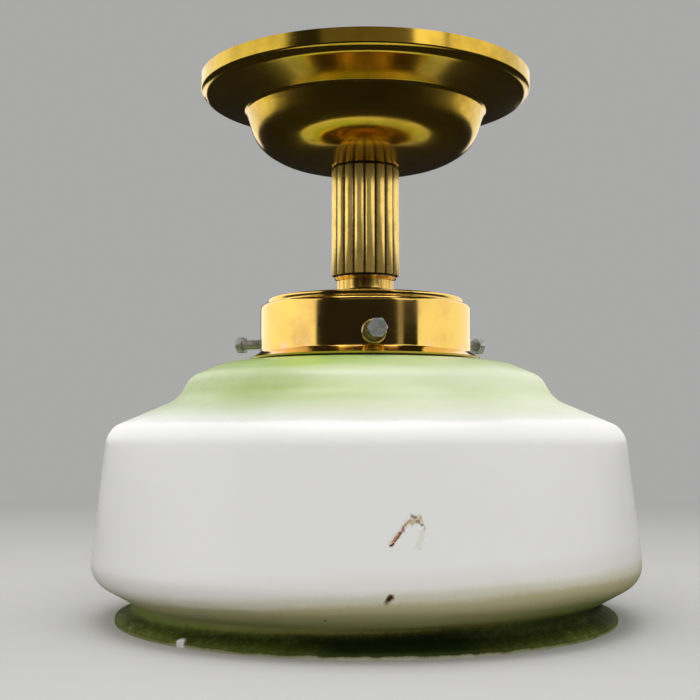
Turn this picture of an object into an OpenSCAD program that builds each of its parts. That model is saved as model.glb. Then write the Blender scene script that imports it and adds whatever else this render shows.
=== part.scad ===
// Semi-flush ceiling lamp: a spun brass rose, a reeded column, a gallery with
// three screws and an open opal glass shade.
// Origin: centre of the ceiling plane. +Z points up, so the lamp lies below zero.

/* [Brass sheet and fits] */
// Thickness of the spun brass sheet
sheet_t = 1; // [0.8:0.1:1.3]
// Radial play between a screw or tube and its hole
play = 0.05; // [0.02:0.01:0.1]
// Gap left between glass and metal where they rest on each other
seat_gap = 0.3; // [0.2:0.05:0.5]
// Rounding of the tight bends in the spun sheet
tight_bend = 0.4; // [0.2:0.1:0.6]
// Rounding of the soft bends in the spun sheet
soft_bend = 1; // [0.7:0.1:1.2]
// Width of a screwdriver slot
slot_w = 0.5; // [0.4:0.1:0.8]
// Depth of a screwdriver slot
slot_deep = 0.5; // [0.3:0.1:0.8]

/* [Ceiling rose] */
// Outer diameter of the rose
rose_d = 166; // [156:1:190]
// Height of the upright rim band
band_h = 7; // [5:0.5:9]
// Width of the turned-in foot of the band
band_foot_w = 1.4; // [1.2:0.1:2]
// Drop of the turned-in foot of the band
band_foot_h = 0.9; // [0.6:0.1:1.2]
// Drop of the rounded edge below the band
edge_h = 3.2; // [2.5:0.1:4.5]
// Width of the rounded edge below the band
edge_w = 2.6; // [2.4:0.1:3.4]
// Rounding of that edge
edge_round = 3; // [1.5:0.1:3.5]
// Drop of the flange from its edge to the bowl
flange_h = 6.3; // [4:0.1:9]
// Diameter of the bowl where it leaves the flange
bowl_d = 120; // [112:1:126]
// Height of the small step round the bowl
step_h = 1.4; // [1:0.1:2.5]
// Width of the small step round the bowl
step_w = 1; // [0.5:0.1:1.5]
// Drop of the bowl's side
bowl_h = 15; // [12:0.5:20]
// Drop of the bowl's lower curve
bowl_curve_h = 8.6; // [6:0.1:11]
// Drop of the bowl's shallow floor
bowl_floor_h = 3.5; // [2:0.1:5]
// Diameter of the bowl at the foot of its side
bowl_side_d = 111; // [104:1:114]
// Diameter of the bowl's floor at its edge
bowl_floor_d = 84; // [70:1:92]
// Rounding of the bowl's side
bowl_side_round = 20; // [10:1:24]
// Rounding of the bowl's floor
bowl_floor_round = 34; // [20:1:40]
// Width of the flat seat round the column
bowl_seat_w = 2; // [1:0.5:5]
// Rounding of that seat's edge
bowl_seat_round = 3; // [1:0.5:6]

/* [Threaded tube and nuts] */
// Outer diameter of the threaded tube
tube_d = 10; // [8:0.5:12]
// Bore of the threaded tube
tube_bore = 7; // [6:0.25:7.5]
// Length of the tube that stands out of its top nut
tube_proud = 0.5; // [0.2:0.1:0.8]
// Width across flats of the tube's nuts
nut_af = 14; // [14:0.5:17]
// Thickness of the tube's nuts
nut_t = 4; // [3:0.5:5]
// Chamfer on the nuts' corners
nut_chamfer = 0.7; // [0.4:0.1:1]
// Thickness of the tube's washers
washer_t = 1.5; // [1:0.1:2]
// Outer diameter of the washer in the rose
rose_washer_d = 30; // [24:1:40]
// Outer diameter of the washer in the gallery
gallery_washer_d = 24; // [20:1:27]

/* [Mounting bar] */
// Overall length of the bar
bar_len = 124; // [116:1:134]
// Width of the bar
bar_w = 20; // [16:1:26]
// Thickness of the bar
bar_t = 2; // [1.5:0.1:3]
// Distance of the bar's middle below the ceiling
bar_drop = 16; // [15:0.5:18]
// Length of the bar's lowered middle
bar_middle_len = 72; // [68:1:76]
// Distance along the bar taken by each sloping leg
bar_leg_run = 10; // [6:0.5:12]
// Distance between the two ceiling screws
ceiling_screw_spacing = 106; // [102:1:110]
// Diameter of the holes for the ceiling screws
ceiling_screw_hole_d = 4.5; // [3.5:0.1:6]

/* [Terminal block] */
// Length of the block along its wires
block_len = 15; // [13:0.5:16]
// Width of the block across its wires
block_w = 21; // [20:0.5:23]
// Height of the block
block_h = 12; // [11:0.25:13]
// Distance between the two wires in the block
pole_pitch = 12; // [11.5:0.25:13]
// Distance of the block's centre from the lamp's axis
block_x = 25; // [24:0.5:26]
// Outer diameter of the brass tubes in the block
pole_d = 5; // [4.4:0.1:5.6]
// Height of the brass tubes' centre line above the bar
pole_h = 7; // [6.8:0.1:7.4]
// Distance of the brass tubes' ends inside the block
pole_inset = 1; // [0.5:0.25:2]
// Diameter of the clamping screws in the block
pole_screw_d = 2.6; // [2.2:0.1:3]
// Depth of the clamping screws' heads below the block's top
pole_screw_sink = 1.5; // [0.5:0.1:2]
// Gap round the clamping screws' heads
pole_screw_gap = 0.4; // [0.2:0.1:0.6]
// Distance between the two clamping screws on one tube
pole_screw_pitch = 8; // [7:0.25:9]
// Diameter of the screw that holds the block
block_screw_d = 3; // [2.5:0.1:3.5]
// Diameter of that screw's head
block_head_d = 5; // [4.4:0.1:5.4]
// Thickness of that screw's head
block_head_t = 2; // [1.5:0.1:3]
// Height of that screw's head above the bar
block_screw_seat = 6; // [4:0.5:8]
// Gap round that screw's head
block_head_gap = 0.2; // [0.1:0.05:0.3]
// Length of that screw below the bar
block_screw_proud = 1.2; // [0.5:0.1:3]

/* [Reeded column] */
// Outer diameter over the reeds
column_d = 34; // [32:0.5:40]
// Length of the column
column_len = 54.2; // [40:0.5:90]
// Number of reeds
reed_count = 18; // [14:1:22]
// Radius of each rounded reed
reed_r = 2.95; // [2.8:0.05:3.2]
// Bore of the column
column_bore = 26; // [24:0.5:27]
// Turn of the first reed from the front
reed_turn = 4.5; // [0:0.5:19]
// Thickness of the flange on each bush
bush_flange_t = 0.8; // [0.5:0.1:1.5]
// Diameter of the flange on each bush
bush_flange_d = 30; // [28:0.5:31]
// Length of each bush inside the column
bush_len = 8; // [5:0.5:12]

/* [Gallery] */
// Gap between the glass bead and the gallery's wall
gallery_gap = 2; // [1.9:0.1:6]
// Diameter of the gallery's neck under the column
trumpet_d = 32.6; // [31:0.2:34]
// Drop of the trumpet neck
trumpet_h = 8.6; // [7.5:0.1:11]
// Radius of the trumpet neck's flare
trumpet_flare = 5; // [3.5:0.1:6]
// Amount that the neck draws in above its flare
trumpet_draw = 0.8; // [0:0.1:1.2]
// Diameter of the raised ring round the neck
neck_ring_d = 42.4; // [42:0.2:50]
// Drop of that ring to the plate
neck_ring_h = 0.8; // [0.5:0.1:1.2]
// Width of that ring's sloping side
neck_ring_w = 0.2; // [0.1:0.1:0.6]
// Drop of the top plate from the neck's ring to its edge
plate_h = 2.8; // [2:0.1:4]
// Distance of the top plate's edge inside the wall
plate_in = 3.5; // [3.2:0.1:6]
// Drop of the step between the plate and the wall
plate_step_h = 2.4; // [1.8:0.1:3.2]
// Amount that the step draws in below the plate
plate_step_w = 0.3; // [0.1:0.1:0.6]
// Drop of the wall's rounded shoulder
shoulder_h = 1; // [0.6:0.1:2]
// Radius of the wall's rounded shoulder
shoulder_round = 2.8; // [2:0.1:3]
// Height of the wall from its shoulder to its lip
wall_h = 23; // [22:0.1:30]
// Distance that the flared lip stands out from the wall
lip_out = 4.5; // [3.5:0.1:7]
// Drop of the flared lip
lip_h = 2.9; // [1.5:0.1:4]

/* [Gallery screws] */
// Number of screws round the gallery, as many as the named screws
screw_count = 3; // [3:1:3]
// Diameter of the screws
screw_d = 5; // [4:0.25:5.5]
// Length of the screws under the head
screw_len = 25; // [22:0.5:30]
// Length of the screws' chamfered point
screw_point = 0.5; // [0.3:0.1:1]
// Width of the hexagon head across its flats
screw_head_af = 8; // [7:0.25:9]
// Thickness of the hexagon head
screw_head_t = 3.5; // [2.5:0.1:4.5]
// Chamfer on the hexagon head's corners
screw_head_chamfer = 0.6; // [0.3:0.1:1]
// Height of the screws' centre line above the gallery's lip
screw_above_lip = 9.2; // [9:0.1:12]
// Diameter of the threaded bosses' flange
boss_d = 11.7; // [10.5:0.1:13]
// Thickness of the threaded bosses' flange
boss_t = 1.7; // [1:0.1:2.5]
// Diameter of the threaded bosses through the wall
boss_body_d = 8; // [7:0.1:9]
// Width and thickness of the clinched ring on each boss inside the wall
clinch = 0.8; // [0.5:0.1:1.2]

/* [Glass shade] */
// Thickness of the glass
glass_t = 4; // [3:0.1:4.5]
// Outer diameter of the glass neck
neck_d = 91; // [86:0.5:92]
// Distance that the bead stands out from the neck
bead_out = 4; // [3:0.1:5]
// Height of the bead on top of the neck
bead_h = 6; // [5:0.1:6.5]
// Height of the neck from its top to the shade's shoulder
neck_h = 19.7; // [19.5:0.1:24]
// Rounding at the foot of the neck
neck_round = 3; // [1:0.5:5]
// Diameter where the upper dome turns down
dome_crown_d = 136; // [130:1:142]
// Drop of the dome's crown
dome_crown_h = 1.2; // [0.8:0.1:3]
// Rounding of the dome's crown
dome_crown_round = 24; // [10:1:30]
// Diameter of the dome at its edge
dome_d = 177.4; // [170:0.5:182]
// Drop of the dome from its crown to its edge
dome_h = 6.8; // [4:0.1:9]
// Rounding of the dome's edge
dome_round = 12; // [6:1:16]
// Diameter of the hollow below the dome
hollow_d = 186.6; // [184:0.5:192]
// Drop from the dome's edge to the hollow
hollow_h = 10.7; // [8:0.1:14]
// Rounding in the hollow
hollow_round = 12; // [6:1:16]
// Diameter of the shade's broad shoulder
broad_d = 246; // [240:1:252]
// Drop from the hollow to the broad shoulder
broad_h = 12.4; // [9:0.1:16]
// Rounding of the broad shoulder
broad_round = 9; // [6:1:12]
// Diameter of the body below its shoulder
body_top_d = 253.8; // [252:0.2:258]
// Drop of the shoulder's turn into the body
body_top_h = 7.6; // [6:0.1:10]
// Rounding at the top of the body
body_top_round = 4; // [4:1:8]
// Diameter of the body at its widest, before it rounds in
body_d = 268; // [260:1:280]
// Height of the tall body
body_h = 64.8; // [45:0.2:90]
// Rounding at the foot of the body
body_round = 12; // [6:1:16]
// Diameter of the waist above the rim
waist_d = 220.4; // [214:0.4:230]
// Drop from the body's widest line to the waist
waist_h = 13.6; // [11:0.1:17]
// Rounding in the waist
waist_round = 4; // [4:0.5:6]
// Diameter of the flared rim
rim_d = 243.4; // [236:0.4:250]
// Drop of the flared rim
rim_h = 5.3; // [4:0.1:8]
// Rounding of the flared rim's edge
rim_round = 1.2; // [0.8:0.1:2]
// Height of the rim's upright edge
rim_edge_h = 2.5; // [1.5:0.1:4]

/* [Lampholder] */
// Outer diameter of the holder's cap
holder_d = 39.2; // [38.4:0.2:42]
// Wall of the holder's cap
cap_t = 1.2; // [1:0.1:1.4]
// Wall of the holder's lower shell
shell_t = 1; // [0.8:0.1:1.2]
// Length of the threaded boss on the cap
cap_boss_len = 9; // [8:0.5:11]
// Diameter of the threaded boss on the cap
cap_boss_d = 16; // [15:0.5:18]
// Width of the cap's rounded shoulder
cap_shoulder_w = 3; // [2:0.5:5]
// Drop of the cap's crown from its boss to its shoulder
cap_crown_h = 2; // [1:0.5:3]
// Drop of the cap's rounded shoulder
cap_shoulder_h = 6; // [4:0.5:7]
// Rounding of the cap
cap_round = 4; // [3:0.5:5]
// Diameter of the grub screw in the cap's boss
grub_d = 3; // [2.5:0.1:3.5]
// Length of the grub screw
grub_len = 4.5; // [3.5:0.1:6]
// Distance of the grub screw's edge below the boss's top
grub_edge = 0.8; // [0.5:0.1:1.5]
// Overall length of the cap
cap_len = 29; // [27:0.5:33]
// Overall length of the lower shell
shell_len = 41; // [39:0.5:45]
// Length of the lower shell inside the cap
shell_lap = 8; // [5:0.5:9]
// Height of the bead on the lower shell under the cap
shell_bead_h = 2; // [1:0.25:3]
// Width of the lower shell's turned-in foot
shell_turn_in = 1.4; // [1:0.1:1.8]
// Height of the porcelain ring below the lower shell
porcelain_lip_h = 1.5; // [1:0.1:2.5]
// Distance of the screw sleeve's foot inside the porcelain ring
sleeve_inset = 1; // [0.5:0.1:2]
// Diameter of the lamp's screw sleeve, inside
sleeve_bore = 26.8; // [26.4:0.1:27.2]
// Wall of the screw sleeve
sleeve_t = 0.6; // [0.4:0.05:0.8]
// Length of the screw sleeve
sleeve_len = 20; // [18:0.5:21]
// Distance of the two wire terminals from the axis
post_y = 9; // [8.5:0.1:9.5]
// Diameter of the two wire terminals
post_d = 5; // [4.6:0.1:5.4]
// Length of the wire terminals above the porcelain
post_proud = 4; // [3.5:0.1:5]
// Length of the wire terminals in the porcelain
post_sunk = 4; // [3:0.1:5]
// Thickness of the floor in each wire terminal
post_floor = 0.5; // [0.3:0.1:0.8]
// Diameter of the rod from one wire terminal to the screw sleeve
rod_d = 2.5; // [2:0.1:3]
// Diameter of the terminals' clamping screws
clamp_d = 2; // [1.6:0.1:2.2]
// Length of the clamping screws with their heads
clamp_len = 3.4; // [3:0.1:4]
// Diameter of the clamping screws' heads
clamp_head_d = 3.4; // [2.8:0.1:3.6]
// Thickness of the clamping screws' heads
clamp_head_t = 1.2; // [0.8:0.1:1.6]
// Distance of the clamping screws below the terminals' tops
clamp_down = 1.8; // [1.7:0.1:2.2]
// Diameter of the centre contact's head
contact_head_d = 8; // [6:0.5:9]
// Thickness of the centre contact's head
contact_head_t = 1.2; // [0.8:0.1:1.6]
// Gap round the centre contact's head in the porcelain
contact_well_gap = 0.5; // [0.3:0.1:1]
// Diameter of the centre contact's stem
contact_stem_d = 4; // [3:0.25:4.5]
// Distance that the centre contact can be pushed in
contact_travel = 1.5; // [1:0.1:2]
// Gap over the centre contact's head when it is pushed in
contact_gap = 0.2; // [0.1:0.05:0.4]
// Gap round the centre contact's head in the screw sleeve's base
sleeve_base_gap = 2; // [1:0.25:3]
// Width of the strip from the contact to the other wire terminal
strip_w = 3; // [2.4:0.1:3.6]
// Thickness of that strip
strip_t = 0.8; // [0.5:0.1:1.2]

/* [Wires] */
// Outer diameter of each insulated wire
wire_d = 2.2; // [1.8:0.1:2.4]
// Distance of each wire from the tube's axis
wire_y = 1.6; // [1.3:0.1:1.8]
// Radius of the wires' bends
wire_bend = 5; // [4.5:0.1:5.5]
// Length of each bared wire end in the terminal block
bared_len = 4; // [3:0.5:5]

/* [Hidden] */
$fn = 96;

// Degrees of arc between two points of a rounded corner
arc_step = 9;
// Length that a cutter reaches past the faces that it opens
past = 1;

// Colours as they show on the lamp
rose_brass = [0.62, 0.47, 0.16];
polished_brass = [0.83, 0.66, 0.29];
zinc = [0.66, 0.67, 0.68];
steel = [0.55, 0.56, 0.58];
porcelain = [0.93, 0.92, 0.88];
opal = [0.9, 0.92, 0.86];

// Diameters that follow from the glass neck
bead_d = neck_d + 2 * bead_out;
gallery_d = bead_d + 2 * (gallery_gap + sheet_t);
plate_d = gallery_d - 2 * plate_in;
lip_d = gallery_d + 2 * lip_out;

// Heights down the lamp
tube_hole_d = tube_d + 2 * play;
rose_floor_z = -(band_h + edge_h + flange_h + step_h + bowl_h + bowl_curve_h + bowl_floor_h);
column_top_z = rose_floor_z - bush_flange_t;
column_foot_z = column_top_z - column_len;
gallery_top_z = column_foot_z - bush_flange_t;
gallery_plate_z = gallery_top_z - trumpet_h - plate_h;
gallery_shoulder_z = gallery_plate_z - plate_step_h - shoulder_h;
lip_z = gallery_shoulder_z - wall_h - lip_h;
screw_z = lip_z + screw_above_lip;
glass_top_z = screw_z + screw_d / 2 + seat_gap + bead_h;
gallery_nut_z = gallery_top_z - sheet_t - washer_t - nut_t;
holder_top_z = gallery_nut_z;
tube_foot_z = holder_top_z - cap_boss_len;
bar_top_z = -bar_drop;
tube_top_z = bar_top_z + nut_t + tube_proud;

// Terminal block
pole_len = block_len - 2 * pole_inset;
pole_screw_len = block_h - pole_h - pole_screw_sink;

// Lampholder
cap_bore = holder_d - 2 * cap_t;
shell_d = cap_bore - 2 * play;
core_d = shell_d - 2 * shell_t - 2 * play;
sleeve_d = sleeve_bore + 2 * sleeve_t;
wire_swing = post_y - wire_y;
post_top_z = tube_foot_z - swing_len(wire_swing);
core_top_z = post_top_z - post_proud;
post_foot_z = core_top_z - post_sunk;
cap_foot_z = holder_top_z - cap_len;
shell_top_z = cap_foot_z + shell_lap;
shell_foot_z = shell_top_z - shell_len;
shell_foot_d = shell_d - 2 * shell_t - 2 * shell_turn_in;
core_foot_z = shell_foot_z - porcelain_lip_h;
sleeve_foot_z = core_foot_z + sleeve_inset;
sleeve_top_z = sleeve_foot_z + sleeve_len;
core_floor_z = sleeve_top_z + sleeve_t;
contact_z = sleeve_top_z + contact_gap;
clamp_z = post_top_z - clamp_down;
grub_z = holder_top_z - grub_d / 2 - grub_edge;

// Gallery screws, measured outwards from the lamp's axis
screw_tip_r = neck_d / 2 + seat_gap;
screw_seat_r = screw_tip_r + screw_len;
screw_turn = 360 / screw_count;

// Corners of a spun profile are [radius, height, rounding], listed from the top
// down the outside, so the thickness always lies to the right of the path.
rose_corners = [
    [rose_d / 2, 0, 0],
    [rose_d / 2, -band_h, soft_bend],
    [rose_d / 2 - band_foot_w, -band_h - band_foot_h, 0],
    [rose_d / 2 - edge_w, -band_h - edge_h, edge_round],
    [bowl_d / 2 + step_w, -band_h - edge_h - flange_h, soft_bend],
    [bowl_d / 2, -band_h - edge_h - flange_h - step_h, soft_bend],
    [bowl_side_d / 2, rose_floor_z + bowl_floor_h + bowl_curve_h, bowl_side_round],
    [bowl_floor_d / 2, rose_floor_z + bowl_floor_h, bowl_floor_round],
    [column_d / 2 + bowl_seat_w, rose_floor_z, bowl_seat_round],
    [tube_hole_d / 2, rose_floor_z, 0]
];
gallery_corners = [
    [tube_hole_d / 2, 0, 0],
    [trumpet_d / 2, 0, soft_bend],
    [trumpet_d / 2 - trumpet_draw, -trumpet_h, trumpet_flare],
    [neck_ring_d / 2, -trumpet_h, tight_bend],
    [neck_ring_d / 2 + neck_ring_w, -trumpet_h - neck_ring_h, tight_bend],
    [plate_d / 2, -trumpet_h - plate_h, soft_bend],
    [plate_d / 2 - plate_step_w, -trumpet_h - plate_h - plate_step_h, tight_bend],
    [gallery_d / 2, -trumpet_h - plate_h - plate_step_h - shoulder_h, shoulder_round],
    [gallery_d / 2, lip_z + lip_h - gallery_top_z, soft_bend],
    [lip_d / 2, lip_z - gallery_top_z, 0]
];
cap_crown_y = -cap_boss_len / 2;
cap_corners = [
    [cap_boss_d / 2 - cap_t, cap_crown_y, 0],
    [holder_d / 2 - cap_shoulder_w, cap_crown_y - cap_crown_h, cap_round],
    [holder_d / 2, cap_crown_y - cap_crown_h - cap_shoulder_h, cap_round],
    [holder_d / 2, -cap_len, 0]
];

// Heights down the glass, from the top of its neck
crown_y = neck_h + dome_crown_h;
dome_y = crown_y + dome_h;
hollow_y = dome_y + hollow_h;
broad_y = hollow_y + broad_h;
body_top_y = broad_y + body_top_h;
body_y = body_top_y + body_h;
waist_y = body_y + waist_h;
rim_y = waist_y + rim_h;
glass_h = rim_y + rim_edge_h;
glass_corners = [
    [neck_d / 2, -bead_h / 2, 0],
    [neck_d / 2, -neck_h, neck_round],
    [dome_crown_d / 2, -crown_y, dome_crown_round],
    [dome_d / 2, -dome_y, dome_round],
    [hollow_d / 2, -hollow_y, hollow_round],
    [broad_d / 2, -broad_y, broad_round],
    [body_top_d / 2, -body_top_y, body_top_round],
    [body_d / 2, -body_y, body_round],
    [waist_d / 2, -waist_y, waist_round],
    [rim_d / 2, -rim_y, rim_round],
    [rim_d / 2, -glass_h, 0]
];

// Direction, side and corner helpers for the spun profiles
function flat(corner) = [corner[0], corner[1]];
function heading(a, b) = (b - a) / norm(b - a);
function right_of(v) = [v[1], -v[0]];
function ends(list, i) = i == 0 || i == len(list) - 1;
function heading_in(list, i) = i == 0 ? heading_out(list, 0)
    : heading(flat(list[i - 1]), flat(list[i]));
function heading_out(list, i) = i == len(list) - 1 ? heading_in(list, i)
    : heading(flat(list[i]), flat(list[i + 1]));

// The same corners moved by t to the right of the path, with their roundings
function moved(list, t) = [
    for (i = [0:len(list) - 1])
        let (a = right_of(heading_in(list, i)))
        let (b = right_of(heading_out(list, i)))
        let (m = (a + b) / norm(a + b))
        let (p = flat(list[i]) + m * t / (m * a))
        let (turns_right = cross(heading_in(list, i), heading_out(list, i)) < 0)
        let (r = max(0, list[i][2] + (turns_right ? -t : t)))
        [p[0], p[1], list[i][2] > 0 ? r : 0]
];

// Points of one rounded corner
function corner_arc(a, p, b, r) =
    let (u = heading(p, a))
    let (v = heading(p, b))
    let (half = acos(u * v) / 2)
    let (room = 0.48 * min(norm(a - p), norm(b - p)))
    let (back = min(r / tan(half), room))
    let (fit_r = back * tan(half))
    let (centre = p + (u + v) / norm(u + v) * fit_r / sin(half))
    let (from = p + u * back - centre)
    let (to = p + v * back - centre)
    let (start = atan2(from[1], from[0]))
    let (sweep = (atan2(to[1], to[0]) - start + 540) % 360 - 180)
    let (n = max(2, ceil(abs(sweep) / arc_step)))
    [for (k = [0:n]) centre + fit_r * [cos(start + sweep * k / n), sin(start + sweep * k / n)]];

// A path through the corners, with each rounding drawn as an arc
function rounded(list) = [
    for (i = [0:len(list) - 1])
        each ends(list, i) || list[i][2] <= 0 ? [flat(list[i])]
            : corner_arc(flat(list[i - 1]), flat(list[i]), flat(list[i + 1]), list[i][2])
];
function reversed(list) = [for (i = [len(list) - 1:-1:0]) list[i]];

// A spun shell of thickness t inside the given corners
module spun(corners, t) {
    rotate_extrude()
        polygon(concat(rounded(corners), reversed(rounded(moved(corners, t)))));
}

// A flat ring lying from height z downwards
module ring(outer_d, inner_d, h, z) {
    translate([0, 0, z - h])
        difference() {
            cylinder(d = outer_d, h = h);
            translate([0, 0, -past])
                cylinder(d = inner_d, h = h + 2 * past);
        }
}

// A bar with six flats, af across them, lying along +Z
module hexagon(af, h) {
    rotate([0, 0, 30])
        cylinder(d = af / cos(30), h = h, $fn = 6);
}

// A hexagon nut on the threaded tube, from height z downwards
module tube_nut(z) {
    translate([0, 0, z - nut_t])
        difference() {
            intersection() {
                hexagon(nut_af, nut_t);
                rotate_extrude()
                    polygon([[0, 0], [nut_af / 2, 0],
                        [nut_af / 2 + 2 * nut_chamfer, nut_chamfer],
                        [nut_af / 2 + 2 * nut_chamfer, nut_t - nut_chamfer],
                        [nut_af / 2, nut_t], [0, nut_t]]);
            }
            translate([0, 0, -past])
                cylinder(d = tube_hole_d, h = nut_t + 2 * past);
        }
}

// Points of a wire's bend from a point: it heads ahead and turns over to one side
function bend(from, ahead, over, turn) =
    let (n = ceil(turn / (2 * arc_step)))
    [for (k = [0:n])
        from + wire_bend * ((1 - cos(turn * k / n)) * over + sin(turn * k / n) * ahead)];

// Turn of each half of a double bend that moves a wire over by reach
function swing_turn(reach) = acos(1 - reach / (2 * wire_bend));
function swing_len(reach) = 2 * wire_bend * sin(swing_turn(reach));

// Points of a double bend, which leaves the wire heading as it came
function swing(from, ahead, over, reach) =
    let (end = from + reach * over + swing_len(reach) * ahead)
    let (back = reversed(bend(end, -ahead, -over, swing_turn(reach))))
    concat(bend(from, ahead, over, swing_turn(reach)), [for (i = [1:len(back) - 1]) back[i]]);

// A round wire swept along a path
function path_heading(path, i) =
    heading(path[max(i - 1, 0)], path[min(i + 1, len(path) - 1)]);
function square_to(v, t) = (v - t * (v * t)) / norm(v - t * (v * t));
module swept_wire(path, d) {
    sides = 8;
    last = len(path) - 1;
    normals = [
        for (i = 0, n = square_to([0, 0.6, 0.8], path_heading(path, 0)); i <= last;
            i = i + 1, n = i <= last ? square_to(n, path_heading(path, i)) : n)
            n
    ];
    rings = [
        for (i = [0:last])
            for (k = [0:sides - 1])
                let (a = k * 360 / sides)
                path[i] + d / 2 * (cos(a) * normals[i] + sin(a) * cross(path_heading(path, i), normals[i]))
    ];
    walls = [
        for (i = [0:last - 1])
            for (k = [0:sides - 1])
                let (j = (k + 1) % sides)
                each [
                    [i * sides + k, (i + 1) * sides + k, (i + 1) * sides + j],
                    [i * sides + k, (i + 1) * sides + j, i * sides + j]
                ]
    ];
    caps = [
        for (k = [1:sides - 2])
            each [[0, k, k + 1], [last * sides, last * sides + k + 1, last * sides + k]]
    ];
    polyhedron(rings, concat(walls, caps));
}

module mounting_bar() {
    foot_in = bar_middle_len / 2 + bar_leg_run;
    color(steel)
        difference() {
            rotate([90, 0, 0])
                translate([0, 0, -bar_w / 2])
                    linear_extrude(height = bar_w)
                        polygon([
                            [-bar_len / 2, 0], [-foot_in, 0],
                            [-bar_middle_len / 2, bar_top_z], [bar_middle_len / 2, bar_top_z],
                            [foot_in, 0], [bar_len / 2, 0], [bar_len / 2, -bar_t],
                            [foot_in + bar_t / 2, -bar_t],
                            [bar_middle_len / 2 + bar_t / 2, bar_top_z - bar_t],
                            [-bar_middle_len / 2 - bar_t / 2, bar_top_z - bar_t],
                            [-foot_in - bar_t / 2, -bar_t], [-bar_len / 2, -bar_t]]);
            translate([0, 0, bar_top_z - bar_t - past])
                cylinder(d = tube_hole_d, h = bar_t + 2 * past);
            for (side = [-1, 1])
                translate([side * ceiling_screw_spacing / 2, 0, -bar_t - past])
                    cylinder(d = ceiling_screw_hole_d, h = bar_t + 2 * past);
            translate([block_x, 0, bar_top_z - bar_t - past])
                cylinder(d = block_screw_d + 2 * play, h = bar_t + 2 * past);
        }
}

module bar_nuts() {
    color(polished_brass) {
        tube_nut(bar_top_z + nut_t);
        tube_nut(bar_top_z - bar_t);
    }
}

// Places its child at each pole of the terminal block, along +X
module at_poles() {
    for (side = [-1, 1])
        translate([block_x, side * pole_pitch / 2, bar_top_z + pole_h])
            rotate([0, 90, 0])
                children();
}

// Places its child at each clamping screw of the terminal block
module at_pole_screws() {
    for (side = [-1, 1])
        for (end = [-1, 1])
            translate([block_x + end * pole_screw_pitch / 2, side * pole_pitch / 2,
                bar_top_z + pole_h])
                children();
}

module terminal_block() {
    color(porcelain)
        difference() {
            translate([block_x - block_len / 2, -block_w / 2, bar_top_z])
                cube([block_len, block_w, block_h]);
            at_poles()
                translate([0, 0, -block_len / 2 - past])
                    cylinder(d = pole_d + 2 * play, h = block_len + 2 * past);
            at_pole_screws()
                cylinder(d = pole_screw_d + 2 * pole_screw_gap, h = block_h);
            translate([block_x, 0, bar_top_z - past])
                cylinder(d = block_screw_d + 2 * play, h = block_h + 2 * past);
            translate([block_x, 0, bar_top_z + block_screw_seat])
                cylinder(d = block_head_d + 2 * block_head_gap, h = block_h);
        }
}

module terminal_tubes() {
    color(polished_brass)
        difference() {
            at_poles()
                translate([0, 0, -pole_len / 2])
                    cylinder(d = pole_d, h = pole_len);
            at_poles()
                translate([0, 0, -pole_len / 2 - past])
                    cylinder(d = wire_d + 2 * play, h = pole_len + 2 * past);
            at_pole_screws()
                cylinder(d = pole_screw_d + 2 * play, h = pole_d);
        }
}

module terminal_screws() {
    color(zinc)
        at_pole_screws()
            difference() {
                translate([0, 0, wire_d / 2 + play])
                    cylinder(d = pole_screw_d, h = pole_screw_len - wire_d / 2);
                translate([-pole_screw_d, -slot_w / 2, pole_screw_len + play - slot_deep])
                    cube([2 * pole_screw_d, slot_w, past]);
            }
}

module block_screw() {
    color(zinc)
        translate([block_x, 0, bar_top_z]) {
            translate([0, 0, -bar_t - block_screw_proud])
                cylinder(d = block_screw_d, h = bar_t + block_screw_proud + block_screw_seat);
            translate([0, 0, block_screw_seat])
                cylinder(d = block_head_d, h = block_head_t);
        }
}

module ceiling_rose() {
    color(rose_brass)
        spun(rose_corners, sheet_t);
}

module rose_washer() {
    color(polished_brass)
        ring(rose_washer_d, tube_hole_d, washer_t, rose_floor_z + sheet_t + washer_t);
}

module rose_nut() {
    color(polished_brass)
        tube_nut(rose_floor_z + sheet_t + washer_t + nut_t);
}

module threaded_tube() {
    color(polished_brass)
        ring(tube_d, tube_bore, tube_top_z - tube_foot_z, tube_top_z);
}

module column_bushes() {
    color(polished_brass) {
        ring(bush_flange_d, tube_hole_d, bush_flange_t, rose_floor_z);
        ring(column_bore - 2 * play, tube_hole_d, bush_len, column_top_z);
        ring(column_bore - 2 * play, tube_hole_d, bush_len, column_foot_z + bush_len);
        ring(bush_flange_d, tube_hole_d, bush_flange_t, column_foot_z);
    }
}

module fluted_column() {
    reed_circle_r = column_d / 2 - reed_r;
    color(polished_brass)
        translate([0, 0, column_foot_z])
            linear_extrude(height = column_len)
                difference() {
                    union() {
                        circle(r = reed_circle_r + reed_r / 3);
                        for (i = [0:reed_count - 1])
                            rotate([0, 0, reed_turn - 90 + i * 360 / reed_count])
                                translate([reed_circle_r, 0])
                                    circle(r = reed_r, $fn = 32);
                    }
                    circle(d = column_bore);
                }
}

// Places its child at each gallery screw, with +X pointing outwards
module at_screws() {
    for (i = [0:screw_count - 1])
        at_screw(i)
            children();
}
module at_screw(i) {
    rotate([0, 0, -90 + i * screw_turn])
        translate([0, 0, screw_z])
            rotate([0, 90, 0])
                children();
}

module gallery() {
    color(polished_brass)
        difference() {
            translate([0, 0, gallery_top_z])
                spun(gallery_corners, sheet_t);
            at_screws()
                translate([0, 0, gallery_d / 2 - sheet_t - past])
                    cylinder(d = boss_body_d + 2 * play, h = sheet_t + 2 * past);
        }
}

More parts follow.
